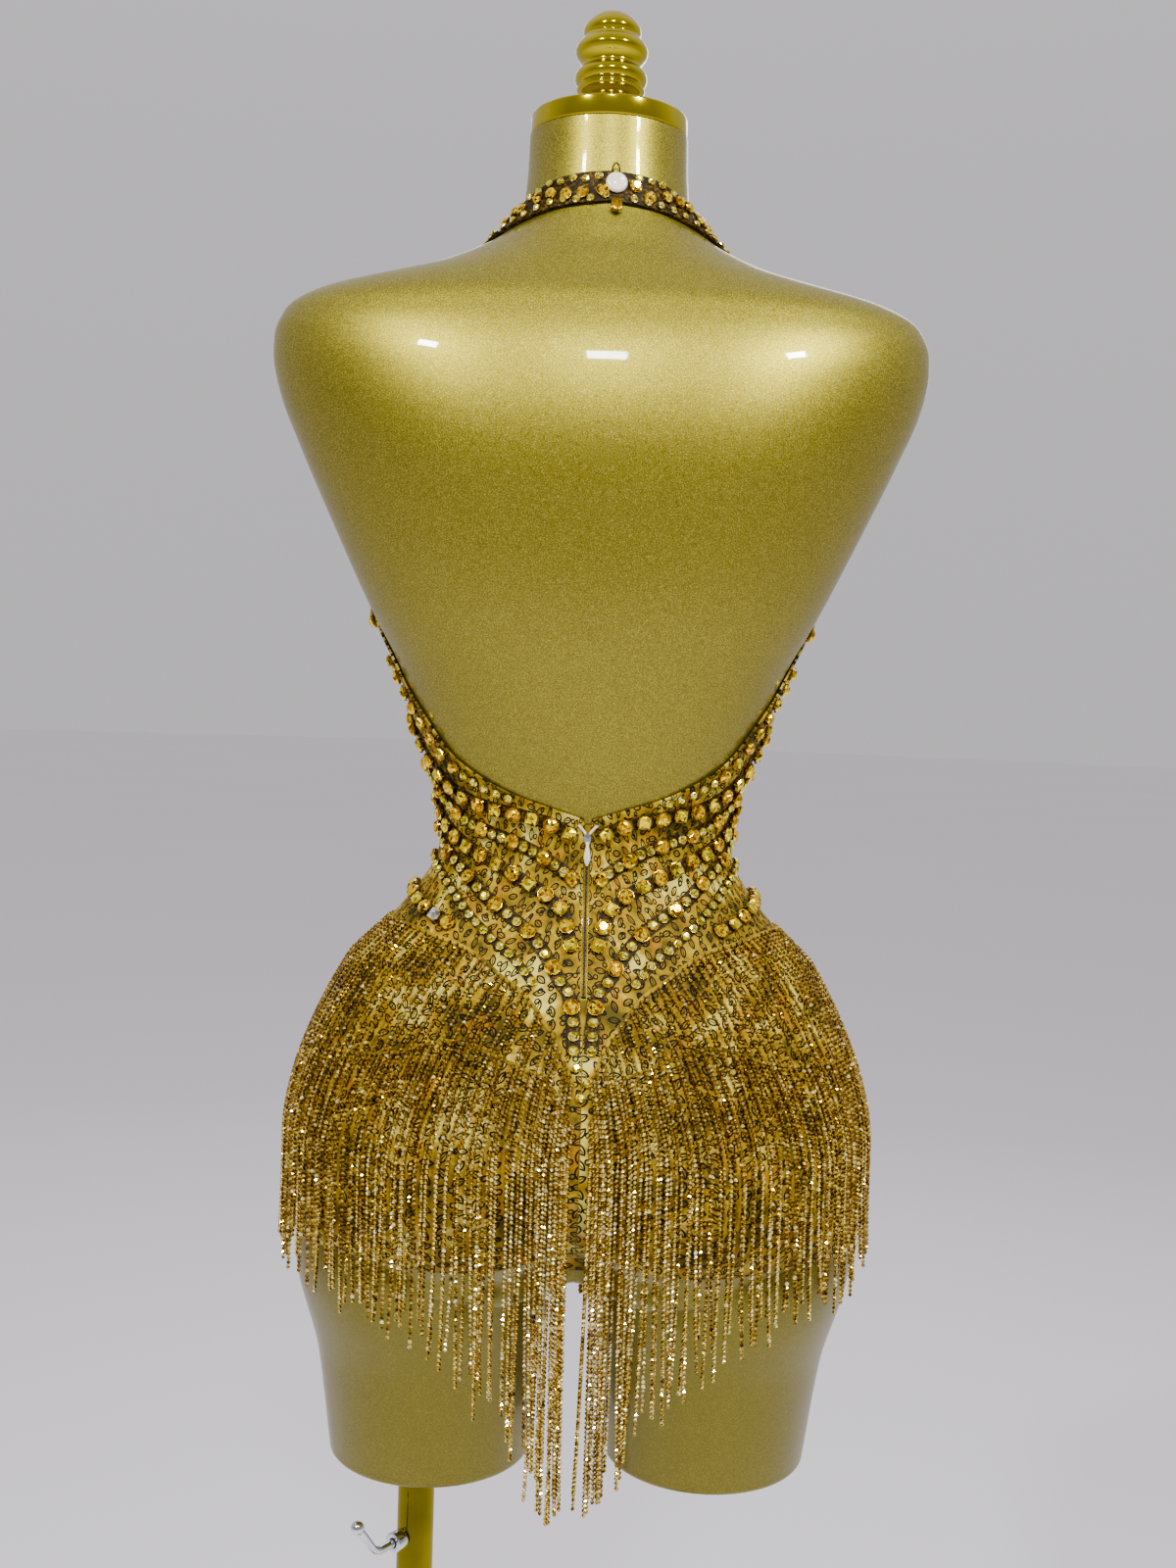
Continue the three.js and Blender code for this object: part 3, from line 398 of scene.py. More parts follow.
# %% Ribbon and mesh finishes
def make_ribbon():
    """Dark foil ribbon: brown, with worn gold showing through in flecks."""
    finish = Finish("dark_ribbon", specular_ior_level=0.1)
    fleck = finish.noise(520, 3)
    cloud = finish.noise(70, 3)
    finish.feed("base_color", finish.ramp(fleck + cloud * 0.3, (0.5, shade(20, 12, 0)),
                                          (0.68, shade(42, 29, 0)), (0.86, shade(108, 82, 8))))
    finish.feed("roughness", 0.4 + fleck * 0.25)
    finish.bump(fleck, 0.08, 0.6)
    return finish


def make_net():
    """The plain mesh of the sewn strips: the cloth's own ground colour without the print."""
    finish = Finish("plain_mesh", specular_ior_level=0.12)
    patch = finish.noise(40, 4)
    finish.feed("base_color", finish.ramp(patch, (0.36, shade(80, 66, 4)), (0.52, shade(128, 102, 10)),
                                          (0.66, shade(170, 142, 36))))
    finish.feed("roughness", 0.6 + patch * 0.2)
    finish.bump(finish.noise(900, 2), 0.06, 0.6)
    return finish


CLOTH = make_cloth()
NET = make_net()
RIBBON = make_ribbon()
print("cloth finishes ready")

# %% [markdown]
# ## Turning arrays into pieces
# A piece is a block of points and one or more blocks of faces. The helper writes them with
# `foreach_set`, turns the faces outwards by the sign of the enclosed volume, marks sharp
# edges and lets the piece ride on its body.

# %% Mesh helpers
def signed_volume(points, blocks):
    """Sum of the tetrahedra from the origin to each triangle of each face."""
    total = 0.0
    for block in blocks:
        first = points[block[:, 0]]
        for k in range(1, block.shape[1] - 1):
            total += np.einsum("ij,ij->", first, np.cross(points[block[:, k]], points[block[:, k + 1]]))
    return total / 6


def make_piece(name, points, blocks, finishes, body="form", slot=None, replaces=(), sharp=40, uv=None,
               slots=None, glint=None):
    """Points in millimetres, blocks of faces of one size each, and a finish or a list of them."""
    points = np.asarray(points, float)
    blocks = [np.asarray(block, np.int64) for block in blocks]
    if signed_volume(points, blocks) < 0:
        blocks = [block[:, ::-1] for block in blocks]
    corners = np.concatenate([block.ravel() for block in blocks])
    sizes = np.concatenate([np.full(len(block), block.shape[1]) for block in blocks])
    mesh = bpy.data.meshes.new(name)
    mesh.vertices.add(len(points))
    mesh.vertices.foreach_set("co", (points * MM).astype(np.float32).ravel())
    mesh.loops.add(len(corners))
    mesh.loops.foreach_set("vertex_index", corners.astype(np.int32))
    mesh.polygons.add(len(sizes))
    mesh.polygons.foreach_set("loop_start", np.concatenate([[0], np.cumsum(sizes)[:-1]]).astype(np.int32))
    mesh.update(calc_edges=True)
    if uv is not None:
        layer = mesh.uv_layers.new(name="cloth_map")
        layer.data.foreach_set("uv", (np.asarray(uv)[corners] * MM).astype(np.float32).ravel())
    if slots is not None:
        mesh.polygons.foreach_set("material_index", np.asarray(slots, np.int32))
    if glint is not None:
        mesh.attributes.new("glint", "FLOAT", "FACE").data.foreach_set("value", np.asarray(glint, np.float32))
    if sharp is None:
        mesh.shade_flat()
    else:
        mesh.shade_smooth()
        mesh.set_sharp_from_angle(angle=math.radians(sharp))
    for finish in finishes if isinstance(finishes, (list, tuple)) else [finishes]:
        mesh.materials.append(finish.material)
    piece = bpy.data.objects.new(name, mesh)
    bpy.context.scene.collection.objects.link(piece)
    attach(piece, body)
    if replaces:
        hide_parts(*([replaces] if isinstance(replaces, str) else replaces))
    return piece


print("pieces are written from arrays")

# %% [markdown]
# ## Grids, walls and skins
# Two shapes cover nearly everything: a wall between two grids, for cloth and tape, and a
# skin over a row of rings, for what is turned, swept or moulded. Both come from the faces
# of one grid, which may join up with itself.

# %% Grids, walls and skins
def grid_quads(columns, rows, round_columns=False, round_rows=False):
    """Faces of a grid of points kept column by column; a round direction joins last to first."""
    i = np.arange(columns if round_columns else columns - 1)[:, None]
    j = np.arange(rows if round_rows else rows - 1)[None, :]
    i2, j2 = (i + 1) % columns, (j + 1) % rows
    corners = [i * rows + j, i2 * rows + j, i2 * rows + j2, i * rows + j2]
    return np.stack(np.broadcast_arrays(*corners), -1).reshape(-1, 4)


def shell(outer, inner):
    """A wall between two grids [column, row, xyz], shut along its four edges."""
    columns, rows = outer.shape[:2]
    half = columns * rows
    quads = grid_quads(columns, rows)
    rim = np.concatenate([np.arange(columns - 1) * rows, (columns - 1) * rows + np.arange(rows - 1),
                          np.arange(columns - 1, 0, -1) * rows + rows - 1, np.arange(rows - 1, 0, -1)])
    after = np.roll(rim, -1)
    sides = np.stack([after, rim, rim + half, after + half], -1)
    points = np.concatenate([outer.reshape(-1, 3), inner.reshape(-1, 3)])
    return points, [np.concatenate([quads, quads[:, ::-1] + half, sides])]


def skin(rings, shut=True):
    """Rings [ring, point, xyz] joined one to the next. Shut ends close on their middle; a skin
    that isn't shut joins its last ring to its first."""
    count, around = rings.shape[:2]
    quads = grid_quads(count, around, round_columns=not shut, round_rows=True)
    points = rings.reshape(-1, 3)
    if not shut:
        return points, [quads]
    k = np.arange(around)
    low, high = len(points), len(points) + 1
    ends = [np.stack([np.full(around, low), (k + 1) % around, k], -1)[:, ::-1],
            np.stack([np.full(around, high), (k + 1) % around + low - around, k + low - around], -1)]
    middles = [rings[0].mean(0), rings[-1].mean(0)]
    return np.concatenate([points, middles]), [quads, np.concatenate(ends)]


def together(*parts):
    """Several (points, blocks) as one."""
    points, blocks, start = [], [], 0
    for p, bs in parts:
        points.append(p)
        blocks += [np.asarray(b) + start for b in bs]
        start += len(p)
    return np.concatenate(points), blocks


print("mesh helpers ready")

# %% [markdown]
# ## The form's surface
# The torso is a stack of superellipses whose sizes come from a short table, joined by smooth
# curves. Seat and bust are bell-shaped swellings, and the cleft is a bell-shaped valley.
# A place on it is a turn, in degrees from the centre back, and a height.

# %% The form's formula
SECTIONS = [  # height, half width, back, front, middle, square, cleft, groin
    [885, 163, 98, 82, -14, 2.1, 52, 34], [897, 164, 106, 84, -15, 2.12, 36, 22],
    [915, 164.5, 113, 87, -15, 2.15, 24, 10], [938, 164.5, 117, 90, -15, 2.15, 17, 3],
    [962, 163, 114, 92, -14, 2.15, 12, 0], [985, 158, 105, 92, -12, 2.12, 8, 0],
    [1008, 149.5, 93, 91, -9, 2.1, 5, 0], [1030, 139, 80, 88, -4, 2.08, 2, 0],
    [1053, 125, 70, 84, 2, 2.05, 0, 0], [1076, 105, 62, 78, 8, 2.02, 0, 0],
    [1099, 89, 58, 73, 13, 2, 0, 0], [1122, 84, 57, 70, 15, 2, 0, 0],
    [1146, 88, 61, 70, 14, 2, 0, 0], [1169, 96, 67, 72, 11, 2.02, 0, 0],
    [1192, 104, 74, 75, 8, 2.05, 0, 0], [1215, 112.5, 80, 79, 5, 2.08, 0, 0],
    [1250, 130.5, 88, 83, 1, 2.12, 0, 0], [1300, 154, 94, 86, -3, 2.16, 0, 0],
    [1340, 172, 93, 82, -6, 2.16, 0, 0], [1370, 184, 87, 76, -8, 2.14, 0, 0],
    [1393, 188, 79, 69, -10, 2.12, 0, 0], [1410, 185, 71, 63, -11, 2.1, 0, 0],
    [1422, 175, 65, 59, -11, 2.06, 0, 0], [1430, 157, 60, 55, -10, 2.02, 0, 0],
    [1436, 133, 57, 53, -9, 2, 0, 0], [1443, 105, 54.5, 51, -7, 2, 0, 0],
    [1451, 84, 52, 49.5, -4, 2, 0, 0], [1461, 65, 50, 48.5, -1, 2, 0, 0],
    [1472, 54, 47.8, 47.3, 2, 2, 0, 0], [1484, 48.6, 46.5, 46.7, 4.4, 2, 0, 0],
    [1497, 47, 46, 46.5, 6, 2, 0, 0], [1525, 46, 45.5, 45.5, 9, 2, 0, 0]]
SEAT = {"out": 13, "x": 72, "height": 946, "wide": 42, "tall": 44}
BUST = {"out": 26, "x": 70, "height": 1288, "wide": 58, "tall": 60}
VALLEY = 30                # how wide the cleft and the groin are
BRIDGE = {"out": 1.3, "height": 1280, "tall": 60}
CLEAR, THICK = 1.0, 1.2    # from the form to the cloth, and through the cloth


def curve(table, at):
    """Smooth values through a table's columns: a cubic on each step, whose slope at a row is the
    mean of the slopes on both sides, weighted towards the shorter step."""
    table = np.asarray(table, float)
    xs, ys = table[:, 0], table[:, 1:]
    step = np.diff(xs)
    slope = np.diff(ys, axis=0) / step[:, None]
    tangent = np.empty_like(ys)
    tangent[0], tangent[-1] = slope[0], slope[-1]
    before, after = step[:-1, None], step[1:, None]
    tangent[1:-1] = (after * slope[:-1] + before * slope[1:]) / (after + before)
    x = np.clip(np.asarray(at, float), xs[0], xs[-1])
    i = np.clip(np.searchsorted(xs, x) - 1, 0, len(step) - 1)
    t = ((x - xs[i]) / step[i])[..., None]
    h = step[i][..., None]
    return ((2 * t ** 3 - 3 * t ** 2 + 1) * ys[i] + (t ** 3 - 2 * t ** 2 + t) * h * tangent[i]
            + (3 * t ** 2 - 2 * t ** 3) * ys[i + 1] + (t ** 3 - t ** 2) * h * tangent[i + 1])


def bell(distance, wide):
    return np.exp(-(distance / wide) ** 2)


def swelling(lump, x, height):
    """A pair of rounded swellings, one on each side."""
    across, up = np.abs(x) - lump["x"], height - lump["height"]
    return lump["out"] * bell(across, lump["wide"]) * bell(up, lump["tall"])


print("waist:", float(curve(SECTIONS, 1122)[0]) * 2, "mm wide")

# %% [markdown]
# ## A place on the form
# Turn and height give a point, and small steps either way give the slope there. Everything
# that lies on the form is laid by these helpers: cloth, ribbons, stones and chains.

# %% Points and slopes
def form_point(turn, height):
    """x is the half width times a power of the turn's sine, y the depth times a power of its
    cosine; the seat and the bust are added, the cleft and the groin are taken away."""
    turn, height = np.broadcast_arrays(np.asarray(turn, float), np.asarray(height, float))
    half, back, front, middle, square, cleft, groin = np.moveaxis(curve(SECTIONS, height), -1, 0)
    sine, cosine = np.sin(np.radians(turn)), np.cos(np.radians(turn))
    x = half * np.sign(sine) * np.abs(sine) ** (2 / square)
    y = middle - np.where(cosine > 0, back, front) * np.sign(cosine) * np.abs(cosine) ** (2 / square)
    valley, facing = bell(x, VALLEY), np.sqrt(np.abs(cosine))
    seat, bust = swelling(SEAT, x, height), swelling(BUST, x, height)
    y = y + facing * np.where(cosine > 0, cleft * valley - seat, bust - groin * valley)
    return np.stack([x, y, height], -1)


def form_normal(turn, height):
    turn, height = np.asarray(turn, float), np.asarray(height, float)
    along = form_point(turn + 0.5, height) - form_point(turn - 0.5, height)
    up = form_point(turn, height + 0.5) - form_point(turn, height - 0.5)
    normal = np.cross(along, up)
    return normal / np.linalg.norm(normal, axis=-1, keepdims=True)


def on_form(turn, height, lift):
    return form_point(turn, height) + form_normal(turn, height) * np.asarray(lift, float)[..., None]


def cloth_top(turn, height):
    """How far the cloth's outer face lies from the form; it spans the hollow under the bust."""
    front = np.maximum(0, -np.cos(np.radians(turn)))
    return CLEAR + THICK + BRIDGE["out"] * np.sqrt(front) * bell(height - BRIDGE["height"], BRIDGE["tall"])


def turn_at(x, height, front=False):
    """The turn at which the form is x wide."""
    table = curve(SECTIONS, height)
    share = np.minimum(1, np.abs(x) / table[..., 0]) ** (table[..., 4] / 2)
    turn = np.degrees(np.arcsin(share))
    return 180 - turn if front else turn


print("form: hips", round(float(2 * form_point(90, 930)[0])), "mm wide")

# %% [markdown]
# ## The dress form
# Torso and thigh stubs are three closed skins. A Boolean joins them and bores the socket for
# the mast, so that the form is one clean solid; the crease where they meet stays crisp.

# %% Torso and thighs
THIGHS = [  # height, centre, half width, back, front, middle
    [754, 82, 60, 58.5, 58.5, -5], [815, 83.5, 66, 71, 63, -8], [885, 86.5, 76.5, 88, 68, -12],
    [930, 84, 66, 70, 56, -14]]
SOLE = {"height": 750, "round": 4}
POLE_X = -90
SOCKET = {"radius": 9.8, "top": 845}
LIP = {"drop": 16, "draw": 0.16}


def torso_rings():
    """Rings of the torso, with a rounded lip under the seat: below the lowest section the ring
    sinks by a sine and draws in towards its middle by the matching cosine."""
    turns = np.arange(0, 360, 2.5)
    heights = np.concatenate([np.arange(885, 1400, 5), np.arange(1400, 1500, 2.5), np.arange(1500, 1526, 5)])
    body = form_point(turns[None, :], heights[:, None])
    angle = np.radians(np.linspace(80, 12, 6))[:, None, None]
    lowest = body[0][None]
    middle = np.array([0.0, -14.0, 885.0])
    lip = middle + (lowest - middle) * (1 - LIP["draw"] * (1 - np.cos(angle)))
    lip = lip - np.array([0, 0, LIP["drop"]]) * np.sin(angle)
    return np.concatenate([lip, body])


def thigh_rings(side):
    """Ellipses with their own depth behind and in front; the sole's edge is a quarter round."""
    angles = np.radians(np.arange(0, 360, 5))
    heights = np.arange(THIGHS[0][0], 931, 4.0)
    table = curve(THIGHS, heights)
    edge = np.radians(np.linspace(90, 10, 5))
    sole = np.tile(table[0], (5, 1))
    sole[:, 1:4] -= (SOLE["round"] * (1 - np.cos(edge)))[:, None]
    table = np.concatenate([sole, table])
    heights = np.concatenate([heights[0] - SOLE["round"] * np.sin(edge), heights])
    centre, half, back, front, middle = (c[:, None] for c in table.T)
    cosine = np.cos(angles)[None]
    x = side * centre + half * np.sin(angles)[None]
    y = middle - np.where(cosine > 0, back, front) * cosine
    return np.stack([x, y, np.broadcast_to(heights[:, None], x.shape)], -1)


print("torso:", len(torso_rings()), "rings")

# %% [markdown]
# ## Turning and joining
# A profile spun about the upright axis gives the socket here and the turned metal later. The
# Boolean is the exact one, which copes with skins that meet at a shallow angle.

# %% Join the form
def turned(profile, sides=64):
    """Rings about the upright axis, one for each [radius, height] of the profile."""
    profile = np.asarray(profile, float)
    angle = np.linspace(0, 2 * math.pi, sides, endpoint=False)
    radius, height = profile[:, :1], profile[:, 1:2]
    across = radius * np.cos(angle)
    return np.stack([across, radius * np.sin(angle), np.broadcast_to(height, across.shape)], -1)


def fused(target, *others):
    """Joins closed pieces with a Boolean and writes the result into the target's mesh."""
    for other, how in others:
        modifier = target.modifiers.new("join", "BOOLEAN")
        modifier.operation, modifier.solver, modifier.object = how, "EXACT", other
    graph = bpy.context.evaluated_depsgraph_get()
    mesh = bpy.data.meshes.new_from_object(target.evaluated_get(graph))
    target.modifiers.clear()
    target.data = mesh
    for other, _ in others:
        bpy.data.objects.remove(other)


form = make_piece("dress_form", *skin(torso_rings()), PAINT, slot="form_paint", replaces="form_body")
thigh_left = make_piece("thigh_left", *skin(thigh_rings(-1)), PAINT)
thigh_right = make_piece("thigh_right", *skin(thigh_rings(1)), PAINT)
bore = turned([[SOCKET["radius"], 700], [SOCKET["radius"], SOCKET["top"]]]) + np.array([POLE_X, 0, 0])
socket = make_piece("socket", *skin(bore), PAINT)
fused(form, (thigh_left, "UNION"), (thigh_right, "UNION"), (socket, "DIFFERENCE"))
form.data.shade_smooth()
form.data.set_sharp_from_angle(angle=math.radians(40))
print("dress form:", len(form.data.polygons), "faces")

# %% [markdown]
# ## Neck cap, finial and stand
# These are turned on a lathe, so each is a profile spun about an axis. A few extra points at
# each arris make the small rounds that catch the light.

# %% Turned pieces
NECK = {"radius": 45.4, "y": 9, "low": 1525.3, "high": 1537}
FINIAL_FOOT = 1537.3
FINIAL = [  # height, radius
    [0, 18.4], [3.4, 18.4], [4.6, 17.4], [8, 15.5], [11.5, 16.8], [14, 19.2], [16, 19.8], [17.2, 18.6],
    [18.4, 19.6], [22, 21], [25.5, 20], [28, 18], [30, 17.6], [32, 18.4], [35, 20.4], [38, 21], [41, 19.8],
    [44.5, 17], [46, 16.2], [47.4, 16.6], [50, 16.6], [54, 14.2], [57, 10.8], [58.8, 7], [59.7, 1.2]]
POLE = {"outer": 11, "inner": 9.8, "low": 8.3, "high": 735}
BASE = {"radius": 160, "tall": 8, "edge": 2.5}


def arris(corner, into, out, size, steps=5):
    """A quarter round at a corner of a profile, from the way in to the way out."""
    corner, into, out = (np.asarray(v, float) for v in (corner, into, out))
    angle = np.linspace(0, math.pi / 2, steps)[:, None]
    return corner - into * size + into * size * np.sin(angle) + out * size * (1 - np.cos(angle))


def disc_profile(radius, low, high, edge):
    """A disc's outline with both arrises rounded."""
    lower = arris((radius, low), (1, 0), (0, 1), edge)
    upper = arris((radius, high), (0, 1), (-1, 0), edge)
    return np.concatenate([[[radius * 0.02, low]], lower, upper, [[radius * 0.02, high]]])


def tube_profile(outer, inner, low, high, edge=0.4):
    """A tube's wall as a closed outline."""
    return np.concatenate([
        arris((outer, low), (1, 0), (0, 1), edge, 3), arris((outer, high), (0, 1), (-1, 0), edge, 3),
        arris((inner, high), (-1, 0), (0, -1), edge, 3), arris((inner, low), (0, -1), (1, 0), edge, 3)])


def at_neck(rings):
    return rings + np.array([0, NECK["y"], 0])


def at_pole(rings):
    return rings + np.array([POLE_X, 0, 0])


finial_heights = np.linspace(0, FINIAL[-1][0], 150)
finial_profile = np.stack([curve(FINIAL, finial_heights)[:, 0], finial_heights + FINIAL_FOOT], -1)
cap = disc_profile(NECK["radius"], NECK["low"], NECK["high"], 1.6)
base = disc_profile(BASE["radius"], 0, BASE["tall"], BASE["edge"])
tube = tube_profile(POLE["outer"], POLE["inner"], POLE["low"], POLE["high"])
flange = [[11.3, 8.3], [22.8, 8.3], [24, 9.5], [24, 10.6], [23, 11.4], [19.4, 12.2], [16.6, 13.6], [14.8, 16],
          [13.8, 19.4], [13.4, 21.4], [12.8, 22.2], [11.3, 22.2]]
bush = tube_profile(11.4, POLE["inner"], 735.3, 739.3, 0.8)
mast = disc_profile(9.4, 430, 840, 0.8)
make_piece("neck_cap_plate", *skin(at_neck(turned(cap, 96))), GOLD, slot="gold", replaces="neck_cap")
make_piece("finial_knob", *skin(at_neck(turned(finial_profile, 72))), GOLD, slot="gold", replaces="finial",
           sharp=60)
make_piece("stand_base", *skin(turned(base, 128)), GOLD, body="stand", slot="gold", replaces="base_plate")
make_piece("outer_tube", *skin(at_pole(turned(tube)), shut=False), TUBE_GOLD_AND_PAINTED_REFLECTION, body="stand", slot="gold",
           replaces="stand_tube")
make_piece("tube_flange", *skin(at_pole(turned(flange)), shut=False), GOLD, body="stand", slot="gold",
           replaces="pole_flange")
make_piece("top_bush", *skin(at_pole(turned(bush)), shut=False), RUBBER, body="stand", slot="bush",
           replaces="tube_bush")
make_piece("inner_mast", *skin(at_pole(turned(mast))), GOLD, body="mast", slot="gold", replaces="mast_tube")
print("turned pieces made")

# %% [markdown]
# ## The clamp
# A threaded elbow lever pinches the mast. Its boss is a short tube on the outer tube, and
# the lever is a round rod swept along a bent path, with a ball on its end.

# %% Clamp boss and lever
CLAMP = {"height": 692, "radius": 6, "near": 11.35, "out": 19, "bore": 2.9, "stem": 2.4, "start": 12.2,
         "elbow": 33, "bend": 5, "arm": 26, "rise": 54, "ball": 4}
CLAMP_AXIS = np.array([-0.64, -0.77, 0.0]) / math.hypot(0.64, 0.77)
CLAMP_SIDE = np.array([-CLAMP_AXIS[1], CLAMP_AXIS[0], 0.0])
CLAMP_ORIGIN = np.array([POLE_X, 0.0, CLAMP["height"]])


def swept(path, radii, beside, sides):
    """Rings square to a path. A ring's first axis is square to the path and to the direction
    beside, so that the rod doesn't twist."""
    ahead = np.gradient(path, axis=0)
    ahead /= np.linalg.norm(ahead, axis=1, keepdims=True)
    first = np.cross(ahead, beside)
    first /= np.linalg.norm(first, axis=1, keepdims=True)
    second = np.cross(ahead, first)
    angle = np.linspace(0, 2 * math.pi, sides, endpoint=False)[:, None]
    ring = first[:, None] * np.cos(angle) + second[:, None] * np.sin(angle)
    return path[:, None] + np.reshape(radii, (-1, 1, 1)) * ring


def lever_path():
    """Out along the axis, round the elbow on a quadratic curve, and up the arm."""
    rise = math.radians(CLAMP["rise"])
    arm = CLAMP_AXIS * math.cos(rise) + np.array([0, 0, math.sin(rise)])
    elbow = CLAMP_ORIGIN + CLAMP_AXIS * CLAMP["elbow"]
    start, tip = CLAMP_ORIGIN + CLAMP_AXIS * CLAMP["start"], elbow + arm * CLAMP["arm"]
    bend_from, bend_to = elbow - CLAMP_AXIS * CLAMP["bend"], elbow + arm * CLAMP["bend"]
    t = np.linspace(0, 1, 9)[:, None]
    bend = (1 - t) ** 2 * bend_from + 2 * t * (1 - t) * elbow + t ** 2 * bend_to
    stem = start + (bend_from - start) * np.linspace(0, 1, 8)[:-1, None]
    straight = bend_to + (tip - bend_to) * np.linspace(0, 1, 6)[1:-1, None]
    angle = np.linspace(0.62, math.pi - 0.12, 12)
    ball = tip + arm * (-CLAMP["ball"] * np.cos(angle))[:, None]
    path = np.concatenate([stem, bend, straight, ball])
    radii = np.concatenate([np.full(len(path) - len(ball), CLAMP["stem"]), CLAMP["ball"] * np.sin(angle)])
    return path, radii


def boss_rings():
    """A tube about the clamp's axis: the profile's height runs along that axis."""
    rings = turned(tube_profile(CLAMP["radius"], CLAMP["bore"], CLAMP["near"], CLAMP["out"], 0.6), 40)
    up = np.array([0.0, 0.0, 1.0])
    return CLAMP_ORIGIN + rings[..., :1] * CLAMP_SIDE + rings[..., 1:2] * up + rings[..., 2:] * CLAMP_AXIS


make_piece("lever_boss", *skin(boss_rings(), shut=False), CHROME, body="stand", slot="chrome",
           replaces="clamp_boss")
make_piece("elbow_lever", *skin(swept(*lever_path(), CLAMP_SIDE, 20)), CHROME, body="clamp_lever",
           slot="chrome", replaces="clamp_lever", sharp=60)
print("clamp made")

# %% [markdown]
# ## The cloth panels
# Each panel is a thin closed wall: one grid on the cloth's inner face and one on its outer.
# Its map is in millimetres of cloth, measured along rows and columns, so that the print
# keeps its size where the body swells. Stretch mesh is cut about 5% under the body.

# %% Panel helpers
STRETCH = 1.05
SEAM = 0.25       # degrees from a seam's line to a panel's edge
HEM = [[0, 904], [8, 902], [20, 898.5], [45, 897], [70, 894.5], [90, 893]]
BACK_NECKLINE = [[0, 1133], [14, 1139.5], [28, 1146], [42, 1155.5], [56, 1169.5], [65, 1186], [72, 1198],
                 [79, 1208], [87, 1228], [90, 1234]]
FRONT_EDGES = [  # height, half width at the neckline, half width at the armhole
    [1250, 0.4, 129], [1265, 0.4, 130.5], [1280, 0.4, 133], [1295, 7, 134.5], [1311, 16, 131.5],
    [1327, 24, 125.5], [1342, 31, 118], [1357, 38, 111], [1384, 50, 102], [1406, 58, 97]]
STRAP_END = {"neck": (153, 1438), "arm": (142.5, 1434)}
FRONT_LEVEL = 1235
ZIP = {"closed": 1015, "open": 1033, "gap": 1.95}


def cloth_map(grid):
    """Millimetres along the middle row, a quarter of each row's own, and up each column."""
    across = np.linalg.norm(np.diff(grid, axis=0), axis=-1)
    up = np.linalg.norm(np.diff(grid, axis=1), axis=-1)
    u = np.concatenate([np.zeros((1, grid.shape[1])), np.cumsum(across, 0)])
    v = np.concatenate([np.zeros((grid.shape[0], 1)), np.cumsum(up, 1)], 1)
    middle = u[:, grid.shape[1] // 2][:, None]
    return np.stack([u * 0.25 + middle * 0.75, v + grid[:, :1, 2] - 880], -1)


def grid_area(grid):
    """Half the length of the crossed diagonals, summed over the grid's cells."""
    a, b = grid[1:, 1:] - grid[:-1, :-1], grid[:-1, 1:] - grid[1:, :-1]
    return float(np.linalg.norm(np.cross(a, b), axis=-1).sum() / 2)


print("hem:", HEM[0][1], "mm above the floor at the back")

# %% [markdown]
# ## Creases
# Cloth held over a body shows a few low folds where it is pulled: near the hem, at the waist,
# under the arms and by the centre front. Each is one row of a table, and stays under a
# millimetre high.

# %% Creases
CREASES = [  # side, from turn and height, to turn and height, width, rise
    [-1, 3, 917, 26, 909, 4.6, 0.6], [-1, 5, 932, 19, 928, 4.0, 0.4],
    [1, 4, 923, 29, 912, 5.0, 0.6], [1, 4, 938, 15, 936, 3.8, 0.35],
    [-1, 60, 1117, 85, 1129, 4.4, 0.4], [1, 66, 1106, 87, 1111, 4.0, 0.35],
    [-1, 176, 1000, 156, 1013, 4.6, 0.5], [1, 175, 984, 160, 996, 4.2, 0.45],
    [-1, 99, 1222, 119, 1240, 5.0, 0.6], [1, 98, 1215, 122, 1237, 4.6, 0.5],
    [-1, 172, 1090, 150, 1098, 4.0, 0.35], [1, 170, 1106, 152, 1121, 4.4, 0.4],
    [-1, 177, 1186, 169, 1224, 4.4, 0.4], [1, 177, 1178, 170, 1229, 4.0, 0.45]]
MM_A_DEGREE = 2.0          # about how far a degree of turn is on the cloth


def crease_lift(turn, height, side):
    """Every crease is a low ridge: a bell across its line, highest in the middle of its length."""
    place = np.stack([turn * MM_A_DEGREE, height], -1)
    lift = np.zeros_like(turn)
    for hand, t0, h0, t1, h1, wide, rise in CREASES:
        start, run = np.array([t0 * MM_A_DEGREE, h0]), np.array([(t1 - t0) * MM_A_DEGREE, h1 - h0])
        share = np.clip((place - start) @ run / (run @ run), 0, 1)
        off = np.linalg.norm(place - start - share[..., None] * run, axis=-1)
        lift += (hand == side) * rise * bell(off, wide) * np.sin(math.pi * (0.08 + 0.84 * share))
    return lift


def make_cloth_piece(name, turn, height, side, finish, replaces):
    """A wall of cloth over places on the form; the size it was cut to is kept in the cut list."""
    top = cloth_top(turn, height) + crease_lift(turn, height, side)
    outer, inner = on_form(turn, height, top), on_form(turn, height, top - THICK)
    flat = cloth_map(outer)
    mirror = np.array([side, 1, 1])
    points, blocks = shell(outer * mirror, inner * mirror)
    piece = make_piece(name, points, blocks, finish, slot="printed_mesh", replaces=replaces,
                       uv=np.concatenate([flat.reshape(-1, 2)] * 2) * np.array([side, 1]) + [side * 900, 0])
    wide = float(np.linalg.norm(np.diff(outer, axis=0), axis=-1).sum(0).max()) / STRETCH
    tall = float(np.linalg.norm(np.diff(outer, axis=1), axis=-1).sum(1).max()) / STRETCH
    area = min(grid_area(outer) / STRETCH ** 2, wide * tall)
    cut_list[name] = {"obj": piece, "flat": (wide * MM, tall * MM), "area": area * MM ** 2}
    print(f"{name}: cut {wide:.0f} x {tall:.0f} mm, {area / 100:.0f} square cm")


print("creases:", len(CREASES))

